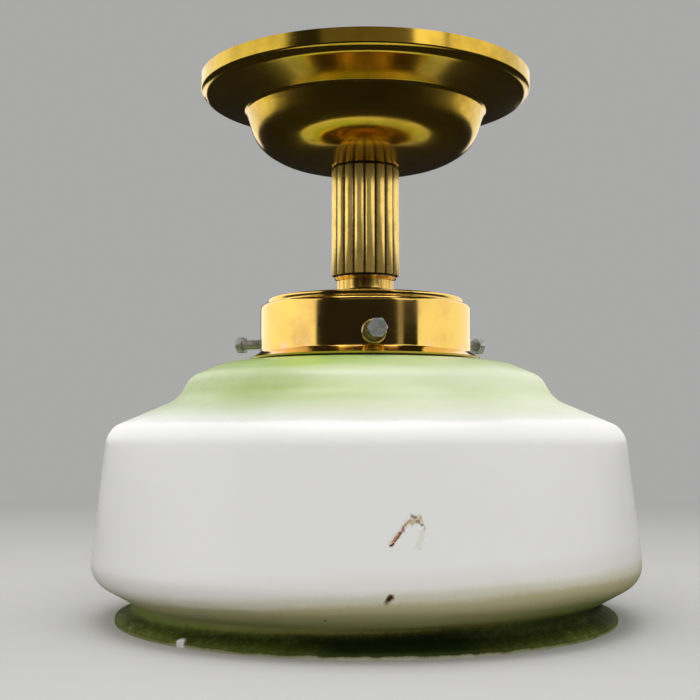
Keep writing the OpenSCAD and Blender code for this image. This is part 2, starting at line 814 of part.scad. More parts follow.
module screw_bosses() {
    wall_r = gallery_d / 2;
    inner_r = wall_r - sheet_t - clinch;
    color(polished_brass)
        at_screws()
            difference() {
                union() {
                    translate([0, 0, inner_r])
                        cylinder(d = boss_body_d, h = sheet_t + clinch + boss_t);
                    difference() {
                        translate([0, 0, wall_r - past])
                            cylinder(d = boss_d, h = boss_t + past);
                        rotate([0, 90, 0])
                            cylinder(r = wall_r, h = 2 * boss_d, center = true, $fn = 180);
                    }
                    intersection() {
                        translate([0, 0, inner_r])
                            cylinder(d = boss_body_d + 2 * clinch, h = sheet_t + clinch);
                        rotate([0, 90, 0])
                            cylinder(r = wall_r - sheet_t, h = 2 * boss_d, center = true, $fn = 180);
                    }
                }
                cylinder(d = screw_d + 2 * play, h = wall_r + boss_t + past);
            }
}

// A hexagon-headed screw from its tip outwards along +Z
module hexagon_screw() {
    corner_r = screw_head_af / 2 / cos(30);
    translate([0, 0, screw_tip_r + screw_point])
        cylinder(d = screw_d, h = screw_len - screw_point);
    translate([0, 0, screw_tip_r])
        cylinder(d1 = screw_d - 2 * screw_point, d2 = screw_d, h = screw_point);
    translate([0, 0, screw_seat_r])
        intersection() {
            hexagon(screw_head_af, screw_head_t);
            rotate_extrude()
                polygon([[0, 0], [corner_r + past, 0],
                    [corner_r + past, screw_head_t - screw_head_chamfer - past * tan(30)],
                    [screw_head_af / 2 - screw_head_chamfer / 2, screw_head_t],
                    [0, screw_head_t]]);
        }
}

module gallery_screw_front() {
    color(zinc)
        at_screw(0)
            hexagon_screw();
}

module gallery_screw_right() {
    color(zinc)
        at_screw(1)
            hexagon_screw();
}

module gallery_screw_left() {
    color(zinc)
        at_screw(2)
            hexagon_screw();
}

module gallery_washer() {
    color(polished_brass)
        ring(gallery_washer_d, tube_hole_d, washer_t, gallery_top_z - sheet_t);
}

module gallery_nut() {
    color(polished_brass)
        tube_nut(gallery_top_z - sheet_t - washer_t);
}

module holder_cap() {
    color(polished_brass)
        difference() {
            union() {
                translate([0, 0, holder_top_z])
                    spun(cap_corners, cap_t);
                ring(cap_boss_d, tube_hole_d, cap_boss_len, holder_top_z);
            }
            translate([0, 0, grub_z])
                rotate([0, 90, 0])
                    cylinder(d = grub_d + 2 * play, h = cap_boss_d);
        }
}

module holder_grub_screw() {
    color(zinc)
        translate([tube_d / 2 + play, 0, grub_z])
            rotate([0, 90, 0])
                difference() {
                    cylinder(d = grub_d, h = grub_len);
                    translate([-grub_d, -slot_w / 2, grub_len - slot_deep])
                        cube([2 * grub_d, slot_w, past]);
                }
}

module holder_shell() {
    color(polished_brass) {
        ring(shell_d, shell_d - 2 * shell_t, shell_len, shell_top_z);
        ring(holder_d, shell_d - shell_t, shell_bead_h, cap_foot_z);
        ring(shell_d - shell_t, shell_foot_d, shell_t, shell_foot_z + shell_t);
    }
}

// The porcelain block that carries the terminals and the centre contact
module holder_insulator() {
    well_h = contact_z + contact_head_t + contact_travel + contact_gap - core_floor_z;
    color(porcelain)
        difference() {
            ring(core_d, contact_stem_d + 2 * play, core_top_z - core_floor_z, core_top_z);
            translate([0, 0, core_floor_z - past])
                cylinder(d = contact_head_d + 2 * contact_well_gap, h = well_h + past);
            for (side = [-1, 1])
                translate([0, side * post_y, post_foot_z])
                    cylinder(d = post_d + 2 * play, h = post_sunk + past);
            translate([0, -post_y, core_floor_z - past])
                cylinder(d = rod_d + 2 * play, h = post_foot_z - core_floor_z + 2 * past);
            translate([-strip_w / 2 - play, -contact_stem_d / 2, post_foot_z])
                cube([strip_w + 2 * play, post_y + contact_stem_d / 2, post_sunk + past]);
        }
}

// The porcelain ring between the screw sleeve and the brass shell
module insulating_ring() {
    bore_d = sleeve_d + 2 * play;
    seat_z = shell_foot_z + shell_t;
    color(porcelain) {
        ring(core_d, bore_d, core_floor_z - seat_z, core_floor_z);
        ring(shell_foot_d - 2 * play, bore_d, seat_z + past - core_foot_z, seat_z + past);
    }
}

module screw_sleeve() {
    base_bore = contact_head_d + 2 * sleeve_base_gap;
    color(polished_brass)
        difference() {
            translate([0, 0, sleeve_foot_z])
                cylinder(d = sleeve_d, h = sleeve_len + sleeve_t);
            translate([0, 0, sleeve_foot_z - past])
                cylinder(d = sleeve_bore, h = sleeve_len + past);
            translate([0, 0, sleeve_foot_z])
                cylinder(d = base_bore, h = sleeve_len + sleeve_t + past);
        }
}

module centre_contact() {
    stem_top_z = post_foot_z - contact_travel - 2 * play;
    color(polished_brass)
        translate([0, 0, contact_z]) {
            cylinder(d = contact_head_d, h = contact_head_t);
            cylinder(d = contact_stem_d, h = stem_top_z - contact_z);
        }
}

module contact_strip() {
    color(polished_brass)
        translate([-strip_w / 2, -contact_stem_d / 2 + play, post_foot_z])
            cube([strip_w, post_y - post_d / 2 + contact_stem_d / 2 - play, strip_t]);
}

module holder_terminals() {
    color(polished_brass)
        for (side = [-1, 1])
            difference() {
                union() {
                    translate([0, side * post_y, post_foot_z])
                        cylinder(d = post_d, h = post_top_z - post_foot_z);
                    if (side < 0)
                        translate([0, side * post_y, core_floor_z])
                            cylinder(d = rod_d, h = post_foot_z - core_floor_z + post_sunk / 2);
                }
                translate([0, side * post_y, core_top_z + post_floor])
                    cylinder(d = wire_d + 2 * play, h = post_proud + past);
                translate([0, side * post_y, clamp_z])
                    rotate([-side * 90, 0, 0])
                        cylinder(d = clamp_d + 2 * play, h = post_d);
            }
}

module holder_terminal_screws() {
    color(zinc)
        for (side = [-1, 1])
            translate([0, side * (post_y + wire_d / 2 + play), clamp_z])
                rotate([-side * 90, 0, 0]) {
                    cylinder(d = clamp_d, h = clamp_len);
                    translate([0, 0, clamp_len - clamp_head_t])
                        cylinder(d = clamp_head_d, h = clamp_head_t);
                }
}

// One wire from its pole in the block, through the tube, to its terminal
module wire(side) {
    pole_swing = pole_pitch / 2 - wire_y;
    pole_end_x = block_x - pole_len / 2;
    wire_z = bar_top_z + pole_h;
    path = concat(
        [[pole_end_x + bared_len, side * pole_pitch / 2, wire_z]],
        swing([pole_end_x - pole_inset, side * pole_pitch / 2, wire_z],
            [-1, 0, 0], [0, -side, 0], pole_swing),
        bend([wire_bend, side * wire_y, wire_z], [-1, 0, 0], [0, 0, -1], 90),
        swing([0, side * wire_y, tube_foot_z], [0, 0, -1], [0, side, 0], wire_swing),
        [[0, side * post_y, core_top_z + post_floor + play]]);
    swept_wire(path, wire_d);
}

module live_wire() {
    color("saddlebrown")
        wire(1);
}

module neutral_wire() {
    color("steelblue")
        wire(-1);
}

module glass_shade() {
    bead_r = bead_h / 2;
    color(opal)
        translate([0, 0, glass_top_z]) {
            spun(glass_corners, glass_t);
            rotate_extrude()
                union() {
                    translate([bead_d / 2 - bead_r, -bead_r])
                        circle(r = bead_r, $fn = 32);
                    translate([neck_d / 2 - glass_t, -bead_h])
                        square([bead_d / 2 - bead_r - neck_d / 2 + glass_t, bead_h]);
                }
        }
}

mounting_bar();
bar_nuts();
terminal_block();
terminal_tubes();
terminal_screws();
block_screw();
ceiling_rose();
rose_washer();
rose_nut();
threaded_tube();
column_bushes();
fluted_column();
gallery();
screw_bosses();
gallery_screw_front();
gallery_screw_right();
gallery_screw_left();
gallery_washer();
gallery_nut();
holder_cap();
holder_grub_screw();
holder_shell();
holder_insulator();
insulating_ring();
screw_sleeve();
centre_contact();
contact_strip();
holder_terminals();
holder_terminal_screws();
live_wire();
neutral_wire();
glass_shade();
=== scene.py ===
import math
import random

import bmesh
import bpy
from mathutils import Matrix, Vector, kdtree


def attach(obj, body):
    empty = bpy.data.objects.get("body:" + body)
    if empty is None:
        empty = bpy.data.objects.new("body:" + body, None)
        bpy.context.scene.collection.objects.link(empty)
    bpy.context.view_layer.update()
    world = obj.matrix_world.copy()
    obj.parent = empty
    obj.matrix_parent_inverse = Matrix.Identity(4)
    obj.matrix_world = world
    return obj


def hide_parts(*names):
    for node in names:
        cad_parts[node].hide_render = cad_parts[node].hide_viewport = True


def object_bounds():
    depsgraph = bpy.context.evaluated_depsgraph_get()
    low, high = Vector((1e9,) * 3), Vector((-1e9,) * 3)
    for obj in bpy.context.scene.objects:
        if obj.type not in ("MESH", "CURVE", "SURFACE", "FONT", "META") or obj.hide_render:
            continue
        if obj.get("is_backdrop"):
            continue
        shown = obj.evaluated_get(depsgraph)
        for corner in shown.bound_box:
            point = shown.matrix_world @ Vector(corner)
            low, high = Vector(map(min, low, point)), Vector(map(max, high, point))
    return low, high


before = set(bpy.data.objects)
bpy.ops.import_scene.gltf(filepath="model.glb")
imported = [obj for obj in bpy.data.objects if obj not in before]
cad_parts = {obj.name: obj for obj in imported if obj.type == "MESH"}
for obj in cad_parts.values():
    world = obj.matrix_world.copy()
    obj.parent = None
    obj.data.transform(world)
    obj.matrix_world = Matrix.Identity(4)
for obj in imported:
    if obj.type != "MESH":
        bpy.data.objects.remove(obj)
cad_low, cad_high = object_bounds()

# The camera stands where the photograph was taken from: about 0.6 m in front of
# the lamp, a little left of the front screw, at the height of the shade's
# shoulder, and it looks slightly upwards.
image_px = 700
lens_px = 1200
sensor_mm = 36
camera_place = Vector((-0.0444, -0.5989, -0.1803))
camera_tilt = math.radians(94.113)
camera_turn = math.radians(-3.5)

bpy.ops.object.camera_add(location=camera_place, rotation=(camera_tilt, 0, camera_turn))
camera = bpy.context.object
camera.name = "camera"
camera.data.sensor_width = sensor_mm
camera.data.lens = lens_px * sensor_mm / image_px
camera.data.clip_end = 50
bpy.context.scene.camera = camera

# The stage: a plain pale floor under the shade's rim, which melts into a plain
# pale surround, and soft boxes at both sides, in front and above that don't show.
floor_r = 1.3
floor_fade_from = 0.25
floor_pale = (0.5, 0.5, 0.49, 1)
floor_reflected = (0.014, 0.013, 0.012, 1)
surround_pale = (0.4, 0.4, 0.395, 1)
surround_dark = (0.02, 0.019, 0.017, 1)


def add_node(tree, kind, **inputs):
    """A new node of a node tree with its inputs set or linked; returns the node."""
    made = tree.nodes.new(kind)
    for name, value in inputs.items():
        if name in made.bl_rna.properties and name not in made.inputs:
            setattr(made, name, value)
            continue
        by_number = name[:1] == "i" and name[1:].isdigit()
        socket = made.inputs[int(name[1:]) if by_number else name.replace("_", " ")]
        if isinstance(value, bpy.types.NodeSocket):
            tree.links.new(value, socket)
        else:
            socket.default_value = value
    return made


def new_material(name):
    """A new material, its node tree and its Principled shader."""
    material = bpy.data.materials.new(name)
    material.use_nodes = True
    tree = material.node_tree
    return material, tree, tree.nodes["Principled BSDF"]


def fed(tree, shader, **values):
    """Links colours, numbers or a relief to a shader's inputs."""
    for name, value in values.items():
        tree.links.new(value, shader.inputs[name.replace("_", " ")])


def place(tree):
    """Object coordinates, which stay with the piece when it moves."""
    return add_node(tree, "ShaderNodeTexCoord").outputs["Object"]


def axes(tree):
    """The object coordinates along X, Y and Z."""
    return add_node(tree, "ShaderNodeSeparateXYZ", Vector=place(tree)).outputs


def stretched(tree, value, low, high, new_low, new_high, way="LINEAR"):
    """A number moved from one range to another, held at its ends."""
    return add_node(
        tree, "ShaderNodeMapRange", interpolation_type=way, Value=value,
        From_Min=low, From_Max=high, To_Min=new_low, To_Max=new_high).outputs["Result"]


def mixed(tree, mask, under, over):
    """A colour between two colours, by a mask."""
    return add_node(tree, "ShaderNodeMix", data_type="RGBA", i0=mask, i6=under, i7=over).outputs[2]


def painted(piece, material):
    """Gives a piece one material and nothing else."""
    piece.data.materials.clear()
    piece.data.materials.append(material)


def soft_box(name, at, aim, size, power, colour=(1, 1, 1)):
    """A flat rectangular lamp at a place, aimed at a point, unseen by the camera."""
    bpy.ops.object.light_add(type="AREA", location=at)
    lamp = bpy.context.object
    lamp.name = name
    lamp.data.shape = "RECTANGLE"
    lamp.data.size, lamp.data.size_y = size
    lamp.data.energy = power
    lamp.data.color = colour
    lamp.rotation_euler = (Vector(aim) - Vector(at)).to_track_quat("-Z", "Y").to_euler()
    lamp.visible_camera = False
    return lamp


bpy.ops.mesh.primitive_circle_add(
    vertices=96, radius=floor_r, fill_type="NGON", location=(0, 0, cad_low.z)
)
floor = bpy.context.object
floor.name = "floor"
bpy.ops.object.transform_apply(location=True)
floor_paint, tree, shader = new_material("pale_floor")
mirrored = add_node(tree, "ShaderNodeLightPath").outputs["Is Glossy Ray"]
shader.inputs["Roughness"].default_value = 0.85
shader.inputs["Specular IOR Level"].default_value = 0.2
from_axis = add_node(tree, "ShaderNodeVectorMath", operation="LENGTH", i0=place(tree)).outputs["Value"]
fade = stretched(tree, from_axis, floor_fade_from, floor_r, 1, 0, "SMOOTHSTEP")
fed(tree, shader, Base_Color=mixed(tree, mirrored, floor_pale, floor_reflected), Alpha=fade)
painted(floor, floor_paint)
floor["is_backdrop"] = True

world = bpy.data.worlds.new("surround")
bpy.context.scene.world = world
world.use_nodes = True
tree = world.node_tree
tree.nodes.clear()
seen = add_node(tree, "ShaderNodeBackground", Color=surround_pale, Strength=1.0).outputs[0]
unseen = add_node(tree, "ShaderNodeBackground", Color=surround_dark, Strength=1.0).outputs[0]
camera_ray = add_node(tree, "ShaderNodeLightPath").outputs["Is Camera Ray"]
both = add_node(tree, "ShaderNodeMixShader", i0=camera_ray, i1=unseen, i2=seen).outputs[0]
add_node(tree, "ShaderNodeOutputWorld", Surface=both)

middle = (0, 0, -0.13)
soft_box("left_box", (-0.8, 0.3, 0.39), (0, 0, 0.39), (2.3, 1.0), 9.5, (1, 0.99, 0.97))
soft_box("right_box", (0.82, 0.23, 0.39), (0, 0, 0.39), (2.3, 1.0), 8.5, (1, 0.99, 0.97))
soft_box("right_window", (0.8, -1.02, 0.46), middle, (0.5, 0.66), 1.4)
soft_box("right_glow", (0.7, -1.1, 0.05), middle, (0.13, 0.4), 0.06)
soft_box("front_glow", (0, -1.35, 0.4), middle, (1.7, 0.5), 0.35, (1, 0.9, 0.75))
fill = soft_box("front_fill", (-0.2, -1.3, 0.68), middle, (1.5, 0.8), 10)
fill.visible_glossy = False
soft_box("top_box", (0, -0.1, 1.2), middle, (1.1, 0.9), 14)
bpy.context.scene.view_settings.view_transform = "Standard"

# The mounting bar: a strip of zinc-coated steel, bent down twice so that the rose
# covers it, with a hole for the tube, one for the block and two ceiling holes.
MM = 0.001
bar_corners = [(-62, 0, 0), (-46, 0, 2), (-36, -16, 2), (36, -16, 2), (46, 0, 2), (62, 0, 0)]
bar_t = 2
bar_w = 20
bar_end_round = 3
tube_hole_r = 5.05
ceiling_hole_r = 2.25
ceiling_hole_x = 53
block_x = 25
block_hole_r = 1.55
drill_len = 6


def ways(corners, i):
    """Directions of a line of corners into and out of corner i."""
    points = [Vector(c[:2]) for c in corners]
    into = (points[i] - points[i - 1]).normalized() if i > 0 else None
    out = (points[i + 1] - points[i]).normalized() if i < len(points) - 1 else into
    return into or out, out


def lining(corners, t):
    """The corners moved by t to the right of their line, for the sheet's other face."""
    made = []
    for i, (r, h, radius) in enumerate(corners):
        into, out = ways(corners, i)
        a, b = Vector((into.y, -into.x)), Vector((out.y, -out.x))
        m = (a + b).normalized()
        p = Vector((r, h)) + m * (t / m.dot(a))
        turns_right = into.cross(out) < 0
        made.append((p.x, p.y, max(0.1, radius + (-t if turns_right else t)) if radius else 0))
    return made


def rounded(corners, arc=6, longest=6):
    """Points along a line of (across, up, rounding) corners, each rounding an arc."""
    points = []
    for i, (r, h, radius) in enumerate(corners):
        p = Vector((r, h))
        if radius <= 0 or i in (0, len(corners) - 1):
            points.append(p)
            continue
        before, after = Vector(corners[i - 1][:2]), Vector(corners[i + 1][:2])
        u, v = (before - p).normalized(), (after - p).normalized()
        half = u.angle(v) / 2
        back = min(radius / math.tan(half), 0.48 * min((before - p).length, (after - p).length))
        fit = back * math.tan(half)
        centre = p + (u + v).normalized() * fit / math.sin(half)
        a, b = p + u * back - centre, p + v * back - centre
        sweep = a.angle_signed(b)
        n = max(2, math.ceil(abs(math.degrees(sweep)) / arc))
        points += [centre + Matrix.Rotation(-sweep * k / n, 2) @ a for k in range(n + 1)]
    split = [points[0]]
    for p in points[1:]:
        n = max(1, math.ceil((p - split[-1]).length / longest))
        last = split[-1]
        split += [last.lerp(p, k / n) for k in range(1, n + 1)]
    return split


def draw_line(name, points):
    """A line of edges drawn point by point, in metres, in a piece of its own."""
    bpy.ops.mesh.primitive_plane_add(size=MM)
    piece = bpy.context.object
    piece.name = name
    bpy.ops.object.mode_set(mode="EDIT")
    bpy.ops.mesh.merge(type="CENTER")
    bpy.ops.transform.translate(value=points[0])
    for a, b in zip(points, points[1:]):
        bpy.ops.mesh.extrude_vertices_move(TRANSFORM_OT_translate={"value": b - a})
    bpy.ops.object.mode_set(mode="OBJECT")
    return piece


def picked(piece):
    """Selects one piece alone, for the tools that follow."""
    bpy.ops.object.select_all(action="DESELECT")
    piece.select_set(True)
    bpy.context.view_layer.objects.active = piece


def opened():
    """Opens the active piece's mesh, all of it selected."""
    bpy.ops.object.mode_set(mode="EDIT")
    bpy.ops.mesh.select_all(action="SELECT")


def closed_up():
    """Faces all of an opened mesh outwards and closes it."""
    bpy.ops.mesh.select_all(action="SELECT")
    bpy.ops.mesh.normals_make_consistent(inside=False)
    bpy.ops.object.mode_set(mode="OBJECT")


def smoothed(piece, angle=38):
    """Smooth shading, with the edges sharper than an angle kept crisp."""
    picked(piece)
    bpy.ops.object.shade_smooth_by_angle(angle=math.radians(angle))


def changed(piece, kind, **settings):
    """Adds a modifier to a piece and applies it."""
    change = piece.modifiers.new(kind.lower(), kind)
    for name, value in settings.items():
        setattr(change, name, value)
    bpy.context.view_layer.objects.active = piece
    bpy.ops.object.modifier_apply(modifier=change.name)


def cut(piece, cutter, way="DIFFERENCE"):
    """Cuts a piece with another, which is then taken away."""
    changed(piece, "BOOLEAN", operation=way, object=cutter, solver="EXACT")
    bpy.data.objects.remove(cutter)


def eased(piece, width, segments=2):
    """Takes the sharpness off a piece's edges, width in mm."""
    changed(piece, "BEVEL", width=width * MM, segments=segments, limit_method="ANGLE", angle_limit=0.6)
    smoothed(piece)


def drill(piece, at, r, length, turn=(0, 0, 0), sides=48):
    """Drills a round hole of radius r and length through a place, both in mm."""
    bpy.ops.mesh.primitive_cylinder_add(
        vertices=sides, radius=r * MM, depth=length * MM, location=Vector(at) * MM, rotation=turn
    )
    cut(piece, bpy.context.object)


def fitted(piece, body, slot, *nodes):
    """Lets a piece ride on a body and stand for its nodes, which it hides; the slot is not used."""
    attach(piece, body)
    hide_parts(*nodes)


bar_outline = rounded(bar_corners, longest=90) + rounded(lining(bar_corners, bar_t), longest=90)[::-1]
bar = draw_line("joggled_bar", [Vector((x, -bar_w / 2, z)) * MM for x, z in bar_outline])
opened()
bpy.ops.mesh.edge_face_add()
bpy.ops.mesh.extrude_region_move(TRANSFORM_OT_translate={"value": (0, bar_w * MM, 0)})
bpy.ops.mesh.select_all(action="SELECT")
bpy.ops.mesh.normals_make_consistent(inside=False)
bpy.ops.mesh.select_all(action="DESELECT")
shape = bmesh.from_edit_mesh(bar.data)
for edge in shape.edges:
    ends = [v.co for v in edge.verts]
    upright = abs(ends[0].z - ends[1].z) > 1.5 * MM and abs(ends[0].x - ends[1].x) < 0.01 * MM
    edge.select = upright and abs(ends[0].x) > 61 * MM
bpy.ops.mesh.bevel(offset=bar_end_round * MM, segments=6)
bpy.ops.object.mode_set(mode="OBJECT")
bar_low = bar_corners[2][1] - bar_t / 2
drill(bar, (0, 0, bar_low), tube_hole_r, drill_len)
drill(bar, (block_x, 0, bar_low), block_hole_r, drill_len)
for side in (-1, 1):
    drill(bar, (side * ceiling_hole_x, 0, -bar_t / 2), ceiling_hole_r, drill_len)
eased(bar, 0.25)
fitted(bar, "lamp", "bar_steel", "mounting_bar")


def new_group(name, inputs, outputs):
    """An empty shader node group with numbers or points as inputs, and numbers out."""
    tree = bpy.data.node_groups.new(name, "ShaderNodeTree")
    for label, value in inputs.items():
        kind = "NodeSocketVector" if isinstance(value, tuple) else "NodeSocketFloat"
        socket = tree.interface.new_socket(label, in_out="INPUT", socket_type=kind)
        socket.default_value = value
    for label in outputs:
        tree.interface.new_socket(label, in_out="OUTPUT", socket_type="NodeSocketFloat")
    return tree, tree.nodes.new("NodeGroupInput").outputs, tree.nodes.new("NodeGroupOutput").inputs


def figure(tree, operation, *values):
    """A sum on numbers; returns its result."""
    inputs = {f"i{k}": value for k, value in enumerate(values)}
    return add_node(tree, "ShaderNodeMath", operation=operation, **inputs).outputs[0]


def times(tree, first, second):
    """Two numbers or masks multiplied."""
    return figure(tree, "MULTIPLY", first, second)


def about_zero(tree, noise, reach):
    """A noise from 0 to 1 moved to lie about 0, over a reach."""
    return times(tree, figure(tree, "SUBTRACT", noise, 0.5), reach)


def noisy(tree, scale, detail, at=None):
    """Soft random numbers all over a piece, or over the places given."""
    spots = place(tree) if at is None else at
    return add_node(tree, "ShaderNodeTexNoise", Vector=spots, Scale=scale, Detail=detail).outputs["Fac"]


def relief(tree, height, distance, strength):
    """A height shown as relief of a distance in metres."""
    return add_node(tree, "ShaderNodeBump", Height=height, Distance=distance, Strength=strength).outputs[0]


def placed(tree, group, **values):
    """Places a node group with its own values; returns its first output."""
    return add_node(tree, "ShaderNodeGroup", node_tree=group, **values).outputs[0]


# Cloudy patches, used for dull, tarnished, rusty and soiled places of all pieces, and to break up the painted
# light on the shade's lip.
patches, given, out = new_group("patches", {"Scale": 40, "Amount": 0.5, "Softness": 0.2, "Seed": 0}, ["Mask"])
cloud = add_node(
    patches, "ShaderNodeTexNoise", noise_dimensions="4D", Vector=place(patches), W=given["Seed"],
    Scale=given["Scale"], Detail=5.0, Roughness=0.62)
spread = stretched(patches, cloud.outputs["Fac"], 0.25, 0.75, 0, 1)
edge = figure(patches, "SUBTRACT", 1.0, given["Amount"])
low = figure(patches, "SUBTRACT", edge, given["Softness"])
high = figure(patches, "ADD", edge, given["Softness"])
patches.links.new(stretched(patches, spread, low, high, 0, 1, "SMOOTHSTEP"), out["Mask"])

bar_zinc = (0.5, 0.51, 0.52, 1)
bar_chalk = (0.62, 0.63, 0.6, 1)
bar_rust = (0.2, 0.085, 0.035, 1)
bar_paint, tree, shader = new_material("zinc_coated_bar")
rolled = add_node(tree, "ShaderNodeMapping", Vector=place(tree), Scale=(60, 900, 900)).outputs[0]
rolling = noisy(tree, 1.0, 3.0, rolled)
chalk = placed(tree, patches, Scale=70, Amount=0.42, Softness=0.2)
rust = placed(tree, patches, Scale=220, Amount=0.3, Softness=0.05, Seed=3)
coat = mixed(tree, chalk, bar_zinc, bar_chalk)
chalky = figure(tree, "ADD", rolling, chalk)
fed(tree, shader, Base_Color=mixed(tree, rust, coat, bar_rust), Metallic=stretched(tree, rust, 0, 1, 1, 0.1))
fed(tree, shader, Roughness=stretched(tree, chalky, 0.3, 1.5, 0.3, 0.6))
fed(tree, shader, Normal=relief(tree, rolling, 0.00004, 0.6))
painted(bar, bar_paint)

# The threaded tube carries the whole lamp and guides the wires. Two nuts clamp it
# in the bar, and washers and nuts hold rose and gallery on it; all plain brass.
tube_r = 5
tube_bore_r = 3.5
tube_top = -11.5
tube_foot = -116.3
tube_pitch = 1
thread_deep = 0.5
thread_inset = 0.4
tube_corner = 0.5
nut_across = 14
nut_t = 4
nut_corner = 0.7
nut_flare = 0.6
bar_top = -16
rose_floor = -45
gallery_top = -100.8
sheet_t = 1
washer_t = 1.5
rose_washer_r = 15
gallery_washer_r = 12


def turned(name, outline, steps=128, closed=True):
    """A solid turned about the lamp's axis from (radius, height) points in mm."""
    points = [Vector((p[0], 0, p[1])) * MM for p in outline]
    if closed:
        points.append(points[0])
    piece = draw_line(name, points)
    opened()
    bpy.ops.mesh.spin(steps=steps, angle=math.tau, center=(0, 0, 0), axis=(0, 0, 1))
    bpy.ops.mesh.select_all(action="SELECT")
    bpy.ops.mesh.remove_doubles(threshold=1e-6)
    bpy.ops.mesh.dissolve_degenerate(threshold=1e-7)
    closed_up()
    smoothed(piece)
    return piece


def turned_ring(name, outer, inner, high, low, edge=0.2, steps=96):
    """A flat ring with eased edges, sizes and heights in mm."""
    corners = [(inner, high, edge), (outer, high, edge), (outer, low, edge), (inner, low, edge)]
    start = (inner, (high + low) / 2, 0)
    return turned(name, rounded([start] + corners + [start], arc=30)[:-1], steps)


def roll_thread(piece, r, pitch, deep, high, low):
    """Rolls a right-hand thread into the skin at radius r, fading out at both ends."""
    for point in piece.data.vertices:
        x, y, z = point.co / MM
        if abs(math.hypot(x, y) - r) > 0.001 or not low <= z <= high:
            continue
        turn = (z / pitch - math.atan2(y, x) / math.tau) % 1
        fade = min(1, (high - z) / pitch, (z - low) / pitch)
        sink = deep * fade * min(1, 1.25 * abs(2 * turn - 1))
        point.co.x *= (r - sink) / r
        point.co.y *= (r - sink) / r
    smoothed(piece, 60)


def six_sided(name, across, high, low, turn=0):
    """A six-sided bar about the lamp's axis, across its flats, in mm."""
    corner = across / 2 / math.cos(math.pi / 6)
    bpy.ops.mesh.primitive_cylinder_add(
        vertices=6, radius=corner * MM, depth=(high - low) * MM,
        location=(0, 0, (high + low) / 2 * MM), rotation=(0, 0, turn)
    )
    piece = bpy.context.object
    piece.name = name
    bpy.ops.object.transform_apply(location=True, rotation=True)
    return piece


def skin(r, high, low, parts=1):
    """Points down a straight wall in a few even parts, for an outline."""
    return [(r, high + (low - high) * k / parts) for k in range(parts + 1)]


def ringed(piece, r, cuts):
    """Divides the upright edges of a turned piece's wall at radius r into rings."""
    smoothed(piece)
    bpy.ops.object.mode_set(mode="EDIT")
    bpy.ops.mesh.select_all(action="DESELECT")
    shape = bmesh.from_edit_mesh(piece.data)
    for edge in shape.edges:
        ends = [v.co / MM for v in edge.verts]
        on_wall = all(abs(math.hypot(p.x, p.y) - r) < 0.001 for p in ends)
        edge.select = on_wall and abs(ends[0].z - ends[1].z) > 1
    bpy.ops.mesh.subdivide(number_cuts=cuts)
    bpy.ops.object.mode_set(mode="OBJECT")


tube_outline = [(tube_bore_r, tube_top), (tube_r - tube_corner, tube_top)]
tube_outline += skin(tube_r, tube_top - thread_inset, tube_foot + thread_inset, 6)
tube_outline += [(tube_r - tube_corner, tube_foot), (tube_bore_r, tube_foot)]
tube = turned("threaded_brass_tube", tube_outline, 32)
ringed(tube, tube_r, 86)
roll_thread(tube, tube_r, tube_pitch, thread_deep, tube_top - thread_inset, tube_foot + thread_inset)
fitted(tube, "lamp", "hardware_brass", "threaded_tube")


def nut(name, top):
    """A brass nut on the tube, chamfered on both faces, from its top down."""
    foot = top - nut_t
    r = nut_across / 2
    made = six_sided(name, nut_across, top, foot)
    chamfers = [(0, foot), (r, foot), (r + 2 * nut_corner, foot + nut_corner)]
    chamfers += [(r + 2 * nut_corner, top - nut_corner), (r, top), (0, top)]
    cut(made, turned("chamfers", chamfers, 96), "INTERSECT")
    wide = tube_hole_r + nut_flare + 1
    bore = [(0, foot - 1), (wide, foot - 1), (tube_hole_r, foot + nut_flare)]
    bore += [(tube_hole_r, top - nut_flare), (wide, top + 1), (0, top + 1)]
    cut(made, turned("bore", bore, 64))
    smoothed(made, 20)
    return made


rose_inside = rose_floor + sheet_t
gallery_inside = gallery_top - sheet_t
upper_nut = nut("bar_nut_above", bar_top + nut_t)
lower_nut = nut("bar_nut_below", bar_top - bar_t)
rose_nut = nut("nut_on_rose", rose_inside + washer_t + nut_t)
gallery_nut = nut("nut_in_gallery", gallery_inside - washer_t)
rose_washer = turned_ring(
    "washer_on_rose", rose_washer_r, tube_hole_r, rose_inside + washer_t, rose_inside)
gallery_washer = turned_ring(
    "washer_in_gallery", gallery_washer_r, tube_hole_r, gallery_inside, gallery_inside - washer_t)
for piece, node in (
    (upper_nut, "bar_nuts"), (lower_nut, "bar_nuts"), (rose_nut, "rose_nut"), (gallery_nut, "gallery_nut"),
    (rose_washer, "rose_washer"), (gallery_washer, "gallery_washer"),
):
    fitted(piece, "lamp", "hardware_brass", node)

# Fine circles left by the lathe or the spinning tool, all round the lamp's axis.
turning_marks, given, out = new_group("turning_marks", {"Fineness": 2500}, ["Lines"])
at = axes(turning_marks)
x = times(turning_marks, at[0], 25.0)
y = times(turning_marks, at[1], 25.0)
z = times(turning_marks, at[2], given["Fineness"])
along = add_node(turning_marks, "ShaderNodeCombineXYZ", X=x, Y=y, Z=z).outputs[0]
squares = figure(turning_marks, "ADD", times(turning_marks, at[0], at[0]), times(turning_marks, at[1], at[1]))
radius = times(turning_marks, figure(turning_marks, "SQRT", squares), given["Fineness"])
lines = add_node(
    turning_marks, "ShaderNodeTexNoise", noise_dimensions="4D", Vector=along, W=radius, Scale=1.0, Detail=2.0)
turning_marks.links.new(lines.outputs["Fac"], out["Lines"])


